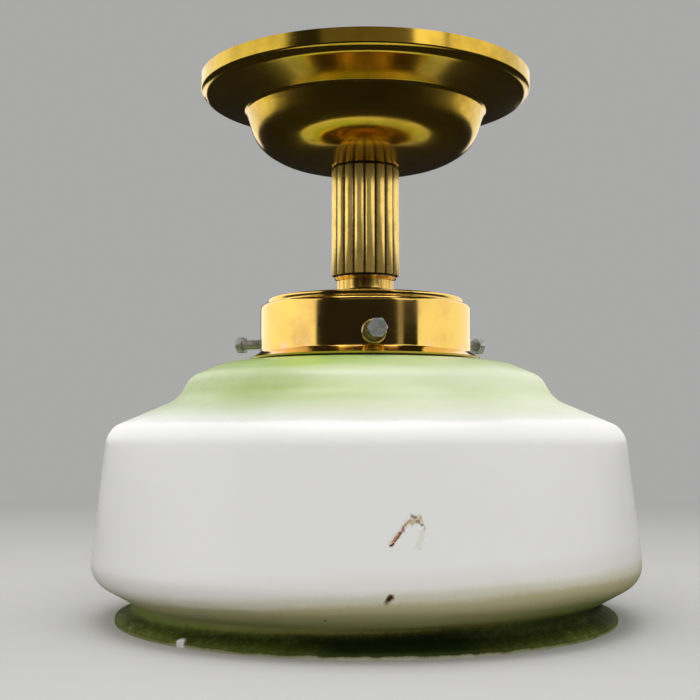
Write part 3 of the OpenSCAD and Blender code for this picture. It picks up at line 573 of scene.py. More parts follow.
def brass(name, bright, dull, scale, amount, smooth, rough, fineness, marks, seed):
    """Brass with dull patches and turning marks; returns what its sections add to."""
    material, tree, shader = new_material(name)
    dulled = placed(tree, patches, Scale=scale, Amount=amount, Softness=0.3, Seed=seed)
    lathe = placed(tree, turning_marks, Fineness=fineness)
    roughness = figure(
        tree, "ADD", stretched(tree, dulled, 0, 1, smooth, rough), about_zero(tree, lathe, 0.12))
    colour = mixed(tree, dulled, bright, dull)
    fed(tree, shader, Base_Color=colour, Roughness=roughness, Normal=relief(tree, lathe, marks, 1.0))
    shader.inputs["Metallic"].default_value = 1
    return material, tree, shader, colour


hardware_gold = (0.7, 0.5, 0.2, 1)
hardware_dull = (0.34, 0.2, 0.07, 1)
hardware_paint, *_ = brass(
    "plain_brass_hardware", hardware_gold, hardware_dull, scale=90, amount=0.5, smooth=0.25, rough=0.5,
    fineness=1500, marks=0.00002, seed=0)
for piece in (tube, upper_nut, lower_nut, rose_nut, gallery_nut, rose_washer, gallery_washer):
    painted(piece, hardware_paint)

# The terminal block: glazed porcelain on the bar, with two brass tubes whose four
# small screws join the lamp's wires to the supply, held down by one longer screw.


def softened(name, node, width, segments=2):
    """A copy of a plain solid with its facets joined and its edges eased, in mm."""
    piece = bpy.data.objects.new(name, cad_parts[node].data.copy())
    bpy.context.collection.objects.link(piece)
    smoothed(piece)
    opened()
    bpy.ops.mesh.remove_doubles(threshold=1e-6)
    bpy.ops.mesh.dissolve_limited(angle_limit=math.radians(1))
    closed_up()
    eased(piece, width, segments)
    return piece


block = softened("porcelain_block", "terminal_block", 0.6, 3)
block_tubes = softened("block_brass_tubes", "terminal_tubes", 0.15)
block_clamps = softened("block_clamp_screws", "terminal_screws", 0.1)
block_fixing = softened("block_fixing_screw", "block_screw", 0.3)
fixing_top = bar_top + 8
slot_w = 0.8
slot_low = fixing_top - slot_w
slot_place = Vector((block_x, 0, slot_low + 1)) * MM
bpy.ops.mesh.primitive_cube_add(size=MM, location=slot_place, scale=(6, slot_w, 2))
cut(block_fixing, bpy.context.object)
smoothed(block_fixing)
for piece, slot, node in (
    (block, "porcelain", "terminal_block"), (block_tubes, "hardware_brass", "terminal_tubes"),
    (block_clamps, "zinc_steel", "terminal_screws"), (block_fixing, "zinc_steel", "block_screw"),
):
    fitted(piece, "lamp", slot, node)

glaze, tree, shader = new_material("glazed_porcelain")
glaze_cream = (0.8, 0.78, 0.7, 1)
glaze_grey = (0.6, 0.57, 0.5, 1)
glaze_speck = (0.12, 0.09, 0.06, 1)
soiled = placed(tree, patches, Scale=120, Amount=0.42, Softness=0.3)
specks = placed(tree, patches, Scale=900, Amount=0.2, Softness=0.04, Seed=5)
soiled_glaze = mixed(tree, soiled, glaze_cream, glaze_grey)
fed(tree, shader, Base_Color=mixed(tree, specks, soiled_glaze, glaze_speck))
fed(tree, shader, Roughness=stretched(tree, soiled, 0, 1, 0.12, 0.35))
fed(tree, shader, Normal=relief(tree, noisy(tree, 350.0, 2.0), 0.0001, 0.5))
shader.inputs["Coat Weight"].default_value = 0.6
shader.inputs["Coat Roughness"].default_value = 0.06
painted(block, glaze)
painted(block_tubes, hardware_paint)

zinc, tree, shader = new_material("zinc_plated_steel")
zinc_grey = (0.46, 0.47, 0.48, 1)
zinc_dull = (0.27, 0.27, 0.26, 1)
zinc_rust = (0.17, 0.08, 0.035, 1)
dulled = placed(tree, patches, Scale=260, Amount=0.5, Softness=0.25)
rust = placed(tree, patches, Scale=500, Amount=0.22, Softness=0.08, Seed=2)
dulled_zinc = mixed(tree, dulled, zinc_grey, zinc_dull)
fed(tree, shader, Base_Color=mixed(tree, rust, dulled_zinc, zinc_rust))
fed(tree, shader, Roughness=stretched(tree, dulled, 0, 1, 0.26, 0.5))
fed(tree, shader, Metallic=stretched(tree, rust, 0, 1, 0.55, 0.15))
fed(tree, shader, Normal=relief(tree, noisy(tree, 1400.0, 3.0), 0.00006, 0.5))
painted(block_clamps, zinc)
painted(block_fixing, zinc)

# The ceiling rose: one sheet of brass spun over a form into an upright rim band, a
# rounded edge, a flat flange, a small step and a shallow bowl, open at the back.
rose_steps = 192
rose_corners = [
    (83, 0, 0),
    (83, -7, 1),
    (81.6, -7.9, 0),
    (80.4, -10.2, 3),
    (61, -16.5, 1),
    (60, -17.9, 1),
    (55.5, -32.9, 20),
    (42, -41.5, 34),
    (19, -45, 3),
    (5.05, -45, 0),
]
rose_outline = rounded(rose_corners, 5, 3) + rounded(lining(rose_corners, sheet_t), 8, 4)[::-1]
rose = turned("spun_rose", rose_outline, rose_steps)
fitted(rose, "lamp", "rose_brass", "ceiling_rose")

rose_gold = (0.72, 0.46, 0.06, 1)
rose_brown = (0.42, 0.27, 0.028, 1)
rose_green = (0.6, 0.43, 0.05, 1)
rose_paint, tree, shader, colour = brass(
    "antique_rose_brass", rose_gold, rose_brown, scale=28, amount=0.42, smooth=0.15, rough=0.24,
    fineness=1200, marks=0.000008, seed=4)
greened = placed(tree, patches, Scale=45, Amount=0.25, Softness=0.3, Seed=7)
fed(tree, shader, Base_Color=mixed(tree, greened, colour, rose_green))
painted(rose, rose_paint)

# The reeded column between rose and gallery: brass with eighteen rounded reeds and
# dark valleys, centred on the tube by a thin-flanged bush at each end.
column_top = -45.8
column_foot = -100
column_bore_r = 13
reed_count = 18
reed_r = 2.95
reed_ring_r = 14.05
reed_turn = 4.5
reed_points = 11
bush_flange_r = 15
bush_flange_t = 0.8
bush_len = 8
bush_corner = 0.3


def bush(name, flange_high, body_high, body_low):
    """A brass bush with a thin flange, turned in one piece, heights in mm."""
    body_r = column_bore_r - 0.05
    flange_low = flange_high - bush_flange_t
    if body_high > flange_low:
        points = [(tube_hole_r, body_high), (body_r - bush_corner, body_high)]
        points += [(body_r, body_high - bush_corner), (body_r, flange_high)]
        points += [(bush_flange_r, flange_high), (bush_flange_r, flange_low), (tube_hole_r, flange_low)]
    else:
        points = [(tube_hole_r, flange_high), (bush_flange_r, flange_high), (bush_flange_r, flange_low)]
        points += [(body_r, flange_low), (body_r, body_low + bush_corner)]
        points += [(body_r - bush_corner, body_low), (tube_hole_r, body_low)]
    return turned(name, points, 96)


upper_bush = bush("bush_above", rose_floor, column_top, column_top - bush_len)
lower_bush = bush("bush_below", column_foot, column_foot + bush_len, column_foot)

valley = math.pi / reed_count
valley_r = reed_ring_r * math.cos(valley) + math.sqrt(reed_r**2 - (reed_ring_r * math.sin(valley)) ** 2)
reed_half = math.atan2(valley_r * math.sin(valley), valley_r * math.cos(valley) - reed_ring_r)
column_line = []
bore_line = []
for reed in range(reed_count):
    turn = math.radians(reed_turn - 90) + reed * math.tau / reed_count
    middle_of_reed = Vector((math.cos(turn), math.sin(turn))) * reed_ring_r
    for k in range(reed_points):
        a = turn + reed_half * 0.97 * (2 * k / (reed_points - 1) - 1)
        p = middle_of_reed + Vector((math.cos(a), math.sin(a))) * reed_r
        column_line.append(Vector((p.x, p.y, column_top)) * MM)
        around = turn + valley * (2 * (k + 0.5) / reed_points - 1)
        bore = Vector((math.cos(around), math.sin(around))) * column_bore_r
        bore_line.append(Vector((bore.x, bore.y, column_top)) * MM)
bore_ring = draw_line("bore_ring", bore_line + bore_line[:1])
column = draw_line("reeded_column", column_line + column_line[:1])
bore_ring.select_set(True)
bpy.ops.object.join()
opened()
bpy.ops.mesh.remove_doubles(threshold=1e-7)
bpy.ops.mesh.bridge_edge_loops()
bpy.ops.mesh.select_all(action="SELECT")
column_rise = (column_foot - column_top) * MM
bpy.ops.mesh.extrude_region_move(TRANSFORM_OT_translate={"value": (0, 0, column_rise)})
closed_up()
eased(column, 0.25)
fitted(upper_bush, "lamp", "hardware_brass", "column_bushes")
fitted(lower_bush, "lamp", "hardware_brass", "column_bushes")
fitted(column, "lamp", "column_brass", "fluted_column")

column_gold = (1.0, 0.72, 0.2, 1)
column_dull = (0.76, 0.52, 0.13, 1)
column_dark = (0.05, 0.028, 0.012, 1)
column_paint, tree, shader, colour = brass(
    "grainy_column_brass", column_gold, column_dull, scale=160, amount=0.35, smooth=0.13, rough=0.22,
    fineness=900, marks=0.00001, seed=9)
# The valleys between the reeds are painted nearly black.
at = axes(tree)
across = add_node(tree, "ShaderNodeCombineXYZ", X=at[0], Y=at[1])
from_axis = add_node(tree, "ShaderNodeVectorMath", operation="LENGTH", i0=across.outputs[0]).outputs["Value"]
grain = noisy(tree, 1800.0, 4.0)
ragged = figure(tree, "ADD", from_axis, about_zero(tree, grain, 0.0012))
in_valley = stretched(tree, ragged, 0.0156, 0.0166, 1, 0, "SMOOTHSTEP")
shader.inputs["Metallic"].default_value = 0.68
fed(tree, shader, Base_Color=mixed(tree, in_valley, colour, column_dark))
fed(tree, shader, Normal=relief(tree, grain, 0.00008, 0.8))
painted(column, column_paint)
# The bushes are painted a near-black brass, darker than any other brass of the lamp.
bush_brown = (0.1, 0.07, 0.035, 1)
bush_black = (0.04, 0.028, 0.016, 1)
bush_paint, *_ = brass(
    "near_black_bush_brass", bush_brown, bush_black, scale=200, amount=0.5, smooth=0.45, rough=0.6,
    fineness=1500, marks=0.00002, seed=10)
for piece in (upper_bush, lower_bush):
    painted(piece, bush_paint)

# The gallery: polished spun brass that holds the glass, with a trumpet neck, a
# stepped plate, an upright wall and a flared lip; three bosses are riveted in it.
gallery_steps = 192
gallery_corners = [
    (5.05, 0, 0),
    (16.3, 0, 0.8),
    (14.4, -1.7, 1.2),
    (14.4, -8.6, 5),
    (21.2, -8.6, 0.4),
    (21.4, -9.4, 0.4),
    (49, -11.4, 1),
    (48.7, -13.8, 0.4),
    (52.5, -14.8, 2.8),
    (52.5, -37.8, 1),
    (57, -40.7, 0),
]
wall_r = 52.5
screw_z = -132.3
boss_r = 5.85
boss_body_r = 4
boss_proud = 1.7
boss_sunk = 0.4
boss_bore_r = 2.55
clinch = 0.8


def lowered(corners, top):
    """Corners measured from a piece's own top, as heights on the lamp."""
    return [(r, top + h, radius) for r, h, radius in corners]


def faced_out(piece, turn, z):
    """Turns a piece made along +Z to point outwards at the front, then round the lamp."""
    picked(piece)
    piece.rotation_euler = (math.radians(90), 0, math.radians(turn))
    piece.location = (0, 0, z * MM)
    bpy.ops.object.transform_apply(location=True, rotation=True)


def copied(piece, name):
    """A copy of a piece with a mesh of its own."""
    made = piece.copy()
    made.data = piece.data.copy()
    made.name = name
    bpy.context.collection.objects.link(made)
    return made


gallery_line = lowered(gallery_corners, gallery_top)
gallery_outline = rounded(gallery_line, 5, 3) + rounded(lining(gallery_line, sheet_t), 8, 4)[::-1]
gallery = turned("polished_gallery", gallery_outline, gallery_steps)
fitted(gallery, "lamp", "gallery_brass", "gallery")

boss_back = wall_r - boss_sunk
boss_face = wall_r + boss_proud
boss_inner = wall_r - sheet_t - clinch
boss_outline = [
    (boss_bore_r, boss_face - 0.4, 0),
    (boss_bore_r + 0.4, boss_face, 0),
    (boss_r, boss_face, 1.1),
    (boss_r, boss_back, 0.2),
    (boss_body_r, boss_back, 0),
    (boss_body_r, wall_r - sheet_t - 0.1, 0),
    (boss_body_r + clinch, wall_r - sheet_t - 0.1, 0.2),
    (boss_body_r + clinch / 2, boss_inner, 0.2),
    (boss_bore_r, boss_inner, 0),
]
front_boss = turned("boss_front", rounded(boss_outline, 15), 64)
bosses = [front_boss, copied(front_boss, "boss_right"), copied(front_boss, "boss_left")]
for boss, turn in zip(bosses, (0, 120, 240)):
    faced_out(boss, turn, screw_z)
    fitted(boss, "lamp", "gallery_brass", "screw_bosses")

gallery_gold = (0.82, 0.56, 0.13, 1)
gallery_dull = (0.68, 0.42, 0.12, 1)
gallery_pink = (0.85, 0.5, 0.36, 1)
gallery_brown = (0.28, 0.16, 0.045, 1)
gallery_paint, tree, shader, colour = brass(
    "polished_gallery_brass", gallery_gold, gallery_dull, scale=34, amount=0.36, smooth=0.08, rough=0.16,
    fineness=1600, marks=0.000006, seed=12)
height = axes(tree)[2]
low_down = stretched(tree, height, -0.137, -0.133, 0.8, 0.06)
pink_patches = placed(tree, patches, Scale=90, Amount=0.34, Softness=0.2, Seed=15)
pinked = times(tree, pink_patches, low_down)
colour = mixed(tree, pinked, colour, gallery_pink)
upright = add_node(tree, "ShaderNodeMapping", Vector=place(tree), Scale=(420, 420, 25)).outputs[0]
streaks = noisy(tree, 1.0, 3.0, upright)
in_neck = stretched(tree, height, -0.1092, -0.1086, 0, 1)
browned = times(tree, stretched(tree, streaks, 0.42, 0.58, 0, 0.8), in_neck)
roughness = shader.inputs["Roughness"].links[0].from_socket
rougher = figure(tree, "ADD", roughness, times(tree, in_neck, 0.12))
fed(tree, shader, Base_Color=mixed(tree, browned, colour, gallery_brown), Roughness=rougher)
painted(gallery, gallery_paint)
boss_gold = (0.8, 0.6, 0.25, 1)
boss_dull = (0.5, 0.34, 0.12, 1)
boss_paint, *_ = brass(
    "turned_boss_brass", boss_gold, boss_dull, scale=180, amount=0.4, smooth=0.24, rough=0.4,
    fineness=2500, marks=0.00001, seed=18)
for boss in bosses:
    painted(boss, boss_paint)

# The three gallery screws: zinc-plated hexagon screws through the bosses. Their
# points hold the glass under its bead, and each backs off to let the glass go.
screw_r = 2.5
screw_tip = 45.8
screw_len = 25
screw_point = 0.5
screw_pitch = 0.8
screw_thread_deep = 0.42
shank_in_head = 0.5
head_across = 8
head_t = 3.5
head_past = 0.9

head_low = screw_tip + screw_len
head_high = head_low + head_t
thread_end = head_low - 0.2
shank_outline = [(0, screw_tip), (screw_r - screw_point, screw_tip)]
shank_outline += skin(screw_r, screw_tip + screw_point, thread_end, 2)
shank_outline += [(screw_r, head_low + shank_in_head), (0, head_low + shank_in_head)]
shank = turned("gallery_screw_at_front", shank_outline, 28, closed=False)
ringed(shank, screw_r, 92)
roll_thread(shank, screw_r, screw_pitch, screw_thread_deep, thread_end, screw_tip + screw_point)
head = six_sided("screw_head", head_across, head_high, head_low, math.radians(30))
head_rim = head_across / 2 - 0.1
slope = math.tan(math.radians(30))
head_limits = [(0, head_low), (head_rim + 0.05, head_low), (head_rim + head_past, head_low + 0.5)]
head_limits += [(head_rim + head_past, head_high - head_past * slope), (head_rim, head_high), (0, head_high)]
cut(head, turned("head_limits", head_limits, 96), "INTERSECT")
smoothed(head, 20)
picked(shank)
head.select_set(True)
bpy.ops.object.join()
screws = [shank, copied(shank, "gallery_screw_at_right"), copied(shank, "gallery_screw_at_left")]
for screw, turn, side in zip(screws, (0, 120, 240), ("front", "right", "left")):
    faced_out(screw, turn, screw_z)
    fitted(screw, f"{side}_screw", "zinc_steel", f"gallery_screw_{side}")
    painted(screw, zinc)

# The lampholder on the tube's foot: a spun brass cap and shell round a porcelain
# core, with a rolled screw sleeve, a sprung centre contact and two wire posts.
holder_top = -107.3
cap_foot = -136.3
cap_t = 1.2
cap_boss_r = 8
cap_boss_foot = -116.3
grub_hole_at = (6.5, 0, -109.6)
grub_hole_r = 1.55
cap_corners = [(8, -111.8, 0.6), (16.6, -113.8, 4), (19.6, -119.8, 4), (19.6, -136.3, 0)]
shell_top = -128.3
shell_foot = -169.3
shell_r = 18.35
shell_t = 1
shell_bead_r = 19.6
shell_foot_r = 15.95
sleeve_bore_r = 13.4
sleeve_t = 0.6
sleeve_foot = -169.8
sleeve_top = -149.8
sleeve_pitch = 3.63
sleeve_wave = 1.05

cap_inside = lining(cap_corners, cap_t)
cap_inside[0] = (cap_boss_r, cap_inside[0][1] - 0.2, 0)
cap_outline = [(tube_hole_r, holder_top, 0), (cap_boss_r, holder_top, 0.5)] + cap_corners
cap_outline += cap_inside[::-1] + [(cap_boss_r, cap_boss_foot, 0.4), (tube_hole_r, cap_boss_foot, 0)]
holder_cap = turned("holder_brass_cap", rounded(cap_outline, 10, 8), 112)
drill(holder_cap, grub_hole_at, grub_hole_r, drill_len, (0, math.radians(90), 0), 24)
smoothed(holder_cap)

shell_outline = [
    (shell_r - shell_t, shell_top, 0),
    (shell_r - 0.3, shell_top, 0),
    (shell_r, shell_top - 0.4, 0),
    (shell_r, cap_foot, 0.1),
    (shell_bead_r, cap_foot, 0.9),
    (shell_bead_r, cap_foot - 2, 0.9),
    (shell_r, cap_foot - 2, 0.3),
    (shell_r, shell_foot, 1.2),
    (shell_foot_r, shell_foot, 0.2),
    (shell_foot_r, shell_foot + shell_t, 0.2),
    (shell_r - shell_t, shell_foot + shell_t, 0.4),
]
holder_shell = turned("holder_brass_shell", rounded(shell_outline, 10, 8), 112)
holder_core = softened("holder_porcelain_core", "holder_insulator", 0.25)
holder_ring = softened("holder_porcelain_ring", "insulating_ring", 0.25)
grub = softened("holder_grub", "holder_grub_screw", 0.12)
posts = softened("wire_posts", "holder_terminals", 0.12)
post_clamps = softened("wire_post_screws", "holder_terminal_screws", 0.12)
contact = softened("sprung_centre_contact", "centre_contact", 0.3, 3)
strip = softened("contact_brass_strip", "contact_strip", 0.1)

sleeve_outline = [(6, sleeve_top + sleeve_t), (6, sleeve_top)]
sleeve_outline += skin(sleeve_bore_r, sleeve_top, sleeve_foot)
sleeve_outline += skin(sleeve_bore_r + sleeve_t, sleeve_foot, sleeve_top + sleeve_t)
sleeve = turned("rolled_screw_sleeve", sleeve_outline, 72)
ringed(sleeve, sleeve_bore_r, 60)
ringed(sleeve, sleeve_bore_r + sleeve_t, 60)
for point in sleeve.data.vertices:
    x, y, z = point.co / MM
    r = math.hypot(x, y)
    fade = min(1, max(0, (sleeve_top - 1 - z) / 2), max(0, (z - sleeve_foot - 0.3) / 1.5))
    if r > sleeve_bore_r - 0.1 and fade > 0:
        wave = 0.5 - 0.5 * math.cos(math.tau * z / sleeve_pitch - math.atan2(y, x))
        point.co.x *= (r - sleeve_wave * wave * fade) / r
        point.co.y *= (r - sleeve_wave * wave * fade) / r
smoothed(sleeve, 60)

holder_gold = (0.74, 0.53, 0.2, 1)
holder_dull = (0.36, 0.21, 0.08, 1)
holder_paint, *_ = brass(
    "holder_brass", holder_gold, holder_dull, scale=55, amount=0.44, smooth=0.18, rough=0.4,
    fineness=1800, marks=0.00001, seed=21)
contact_gold = (0.8, 0.6, 0.28, 1)
contact_dull = (0.5, 0.3, 0.12, 1)
contact_paint, *_ = brass(
    "contact_brass", contact_gold, contact_dull, scale=150, amount=0.4, smooth=0.22, rough=0.42,
    fineness=2500, marks=0.00001, seed=25)
for piece, body, slot, node, paint in (
    (holder_cap, "lamp", "holder_brass", "holder_cap", holder_paint),
    (holder_shell, "lamp", "holder_brass", "holder_shell", holder_paint),
    (holder_core, "lamp", "porcelain", "holder_insulator", glaze),
    (holder_ring, "lamp", "porcelain", "insulating_ring", glaze),
    (grub, "lamp", "zinc_steel", "holder_grub_screw", zinc),
    (posts, "lamp", "contact_brass", "holder_terminals", contact_paint),
    (post_clamps, "lamp", "zinc_steel", "holder_terminal_screws", zinc),
    (contact, "contact", "contact_brass", "centre_contact", contact_paint),
    (strip, "lamp", "contact_brass", "contact_strip", contact_paint),
    (sleeve, "lamp", "contact_brass", "screw_sleeve", contact_paint),
):
    fitted(piece, body, slot, node)
    painted(piece, paint)

# The two wires: stranded copper in plastic, from the block's brass tubes over the
# tube's top, down through its bore and out to the lampholder's posts.
wire_r = 1.1
wire_y = 1.6
wire_bend = 5
pole_y = 6
pole_end_x = 18.5
pole_inset = 1
bared_len = 4
wire_z = bar_top + 7
post_y = 9
post_floor = -129.41


def bend(start, ahead, over, turn):
    """Points of a wire's bend that heads ahead and turns over to one side, in mm."""
    n = math.ceil(math.degrees(turn) / 9)
    return [
        start + wire_bend * ((1 - math.cos(turn * k / n)) * over + math.sin(turn * k / n) * ahead)
        for k in range(n + 1)
    ]


def swing(start, ahead, over, reach):
    """Points of a double bend, which leaves the wire heading as it came, in mm."""
    turn = math.acos(1 - reach / (2 * wire_bend))
    end = start + reach * over + 2 * wire_bend * math.sin(turn) * ahead
    return bend(start, ahead, over, turn) + bend(end, -ahead, -over, turn)[::-1][1:]


def insulated_wire(name, side):
    """One wire from its tube in the block to its post; side is 1 or -1."""
    left, down, out = Vector((-1, 0, 0)), Vector((0, 0, -1)), Vector((0, side, 0))
    route = [Vector((pole_end_x + bared_len, side * pole_y, wire_z))]
    route += swing(Vector((pole_end_x - pole_inset, side * pole_y, wire_z)), left, -out, pole_y - wire_y)
    route += bend(Vector((wire_bend, side * wire_y, wire_z)), left, down, math.radians(90))
    route += swing(Vector((0, side * wire_y, tube_foot)), down, out, post_y - wire_y)
    route += [Vector((0, side * post_y, post_floor))]
    piece = draw_line(name, [p * MM for p in route])
    smoothed(piece)
    bpy.ops.object.convert(target="CURVE")
    piece = bpy.context.object
    piece.data.bevel_depth = wire_r * MM
    piece.data.bevel_resolution = 3
    piece.data.use_fill_caps = True
    bpy.ops.object.convert(target="MESH")
    piece = bpy.context.object
    opened()
    bpy.ops.mesh.remove_doubles(threshold=1e-6)
    closed_up()
    smoothed(piece, 50)
    return piece


def plastic(name, clean, worn):
    """Soft plastic insulation with a faint grain and rubbed places."""
    material, tree, shader = new_material(name)
    rubbed = placed(tree, patches, Scale=300, Amount=0.42, Softness=0.25, Seed=30)
    fed(tree, shader, Base_Color=mixed(tree, rubbed, clean, worn))
    fed(tree, shader, Roughness=stretched(tree, rubbed, 0, 1, 0.3, 0.5))
    fed(tree, shader, Normal=relief(tree, noisy(tree, 2500.0, 2.0), 0.00005, 0.5))
    return material


brown_wire = insulated_wire("brown_wire", 1)
blue_wire = insulated_wire("blue_wire", -1)
fitted(brown_wire, "lamp", "brown_insulation", "live_wire")
fitted(blue_wire, "lamp", "blue_insulation", "neutral_wire")
wire_brown = (0.16, 0.065, 0.03, 1)
wire_tan = (0.24, 0.12, 0.07, 1)
wire_blue = (0.05, 0.14, 0.36, 1)
wire_pale_blue = (0.12, 0.22, 0.42, 1)
painted(brown_wire, plastic("brown_plastic", wire_brown, wire_tan))
painted(blue_wire, plastic("blue_plastic", wire_blue, wire_pale_blue))

# The shade: blown opal glass with a beaded neck, a low dome, a hollow, a broad
# shoulder, a tall body and a flared rim whose edge is ground flat and worn bare.
glass_t = 4
glass_top = -123.5
shade_steps = 224
glass_corners = [
    (45.5, -19.7, 3),
    (70.5, -20.7, 26),
    (87, -27.8, 10.6),
    (92.6, -38.7, 21.9),
    (123, -51.8, 9),
    (126.9, -57.4, 15.3),
    (134, -123.2, 12),
    (110.2, -136.8, 7),
    (121.7, -142.1, 1.2),
    (121.7, -144.6, 0),
]
bead_corners = [(41.5, 0, 0.5), (49.5, 0, 3), (49.5, -6, 3), (45.5, -6, 0.5)]

shade_line = lowered(glass_corners, glass_top)
shade_inside = lining([(45.5, glass_top, 0)] + shade_line, glass_t)[1:]
shade_inside[-1] = (shade_inside[-1][0], shade_line[-1][1], 0)
shade_outside = lowered(bead_corners, glass_top) + shade_line
shade_start = (41.5, glass_top - 6, 0)
outside_points = rounded([shade_start] + shade_outside, 6, 4)
inside_points = rounded(shade_inside[::-1] + [shade_start], 8, 5)
shade = turned("opal_shade", outside_points + inside_points[:-1], shade_steps)
fitted(shade, "lamp", "opal_glass", "glass_shade")

# The chip: a flake knocked off the rim's outer edge at the front left.
chip_at = Vector((-84.9, -89.2, -268.6))
chip_reach = (2.2, 2.4, 5.2)
bpy.ops.mesh.primitive_ico_sphere_add(subdivisions=3, radius=MM)
flake = bpy.context.object
chance = random.Random(4)
for point in flake.data.vertices:
    point.co *= chance.uniform(0.9, 1.08)
flake.scale = chip_reach
flake.rotation_euler = (0, 0, math.atan2(chip_at.y, chip_at.x))
flake.location = chip_at * MM
bpy.ops.object.transform_apply(location=True, rotation=True, scale=True)
cut(shade, flake)
smoothed(shade)

# Which points of the shade lie on its outer face, where the colour was sprayed.
line_points = kdtree.KDTree(len(outside_points) + len(inside_points))
for k, p in enumerate(outside_points + inside_points):
    line_points.insert((p[0], p[1], 0), k)
line_points.balance()
outer = shade.data.attributes.new("outer_face", "FLOAT", "POINT")
for point in shade.data.vertices:
    x, y, z = point.co / MM
    nearest = line_points.find((math.hypot(x, y), z, 0))[1]
    outer.data[point.index].value = 1 if nearest < len(outside_points) else 0

# A stroke of stain between two points on the glass, with a ragged edge.
strokes, given, out = new_group(
    "stain_stroke", {"From": (0, 0, 0), "To": (0, 0, 0), "Width": 0.002, "Ragged": 0.002}, ["Mask"])
spot = place(strokes)


def on_points(operation, **inputs):
    """A sum on points of the stroke; returns its outputs."""
    return add_node(strokes, "ShaderNodeVectorMath", operation=operation, **inputs).outputs


reach = on_points("SUBTRACT", i0=given["To"], i1=given["From"])[0]
offset = on_points("SUBTRACT", i0=spot, i1=given["From"])[0]
along = on_points("DOT_PRODUCT", i0=offset, i1=reach)["Value"]
whole = on_points("DOT_PRODUCT", i0=reach, i1=reach)["Value"]
share = add_node(strokes, "ShaderNodeMath", operation="DIVIDE", use_clamp=True, i0=along, i1=whole).outputs[0]
foot = on_points("SCALE", i0=reach, Scale=share)[0]
away = on_points("DISTANCE", i0=offset, i1=foot)["Value"]
rough_edge = noisy(strokes, 900.0, 3.0, spot)
ragged = about_zero(strokes, rough_edge, given["Ragged"])
inner = times(strokes, given["Width"], 0.35)
frayed = figure(strokes, "ADD", away, ragged)
strokes.links.new(stretched(strokes, frayed, inner, given["Width"], 1, 0, "SMOOTHSTEP"), out["Mask"])


def banded(tree, value, low, high, stops):
    """Colours that change with a height; stops are (height, colour) from the bottom up."""
    ramp = tree.nodes.new("ShaderNodeValToRGB")
    tree.links.new(stretched(tree, value, low, high, 0, 1), ramp.inputs[0])
    ramp.color_ramp.interpolation = "EASE"
    steps = ramp.color_ramp.elements
    while len(steps) < len(stops):
        steps.new(0.5)
    for step, (height, colour) in zip(steps, stops):
        step.position = (height - low) / (high - low)
        step.color = (*colour, 1)
    return ramp.outputs[0]


# Opal white, with green enamel sprayed on round the top and the rim, and light and
# shade painted into these bands. The spray fades out in fine dots; streaks, age and stains lie over it.
opal_white = (0.86, 0.86, 0.845)
# The rim's colours by height from the bottom up: the bare ground edge, the green spray band and its fade to
# white. The near-black band over the rim's top is painted shade under the overhanging body.
rim_bands_with_painted_shade = [
    (-268.2, (0.5, 0.48, 0.36)),
    (-267.5, (0.34, 0.34, 0.22)),
    (-266.7, (0.03, 0.04, 0.008)),
    (-264.8, (0.005, 0.008, 0.0006)),
    (-260.6, (0.003, 0.004, 0.0004)),
    (-259.4, (0.03, 0.033, 0.004)),
    (-257.6, (0.2, 0.2, 0.05)),
    (-255, (0.4, 0.38, 0.16)),
    (-250, (0.46, 0.42, 0.22)),
    (-246.5, (0.52, 0.48, 0.27)),
    (-243, (0.68, 0.65, 0.52)),
    (-238.5, (0.8, 0.79, 0.75)),
    (-230, opal_white),
]
# The crown's colours by height: the green spray fading to white, with a paler streak painted as a highlight
# where the dome turns down, and darker green painted as shade in the hollow below it.
crown_bands_with_painted_light = [
    (-174.4, opal_white),
    (-173, (0.74, 0.76, 0.7)),
    (-170, (0.7, 0.73, 0.61)),
    (-167, (0.66, 0.7, 0.51)),
    (-163.5, (0.59, 0.67, 0.39)),
    (-160, (0.56, 0.65, 0.31)),
    (-156.5, (0.68, 0.76, 0.43)),
    (-153, (0.73, 0.79, 0.54)),
    (-150, (0.67, 0.77, 0.42)),
    (-147.5, (0.48, 0.67, 0.18)),
    (-143, (0.42, 0.62, 0.14)),
]
lit_lip_green = (0.12, 0.15, 0.015, 1)
lip_shade_dark = (0.02, 0.03, 0.004, 1)
waist_shade_green = (0.17, 0.23, 0.04, 1)
speckle_green = (0.24, 0.28, 0.1, 1)
crown_pale_and_lit = (0.74, 0.78, 0.6, 1)
crown_green = (0.27, 0.4, 0.085, 1)
chip_white = (0.74, 0.74, 0.72, 1)
inner_white = (0.8, 0.805, 0.77, 1)
glass_paint, tree, shader = new_material("sprayed_opal_glass")
at = axes(tree)
level = add_node(tree, "ShaderNodeMapping", Vector=place(tree), Scale=(14, 14, 60)).outputs[0]
streaks = noisy(tree, 1.0, 4.0, level)
dots = noisy(tree, 1500.0, 2.0)
mottle = noisy(tree, 380.0, 3.0)
worn = noisy(tree, 130.0, 4.0)


def moved_height(height, *shifts):
    """A height in mm with noises added, each with its reach in mm."""
    for noise, reach in shifts:
        height = figure(tree, "ADD", height, about_zero(tree, noise, reach))
    return height


height = times(tree, at[2], 1000.0)
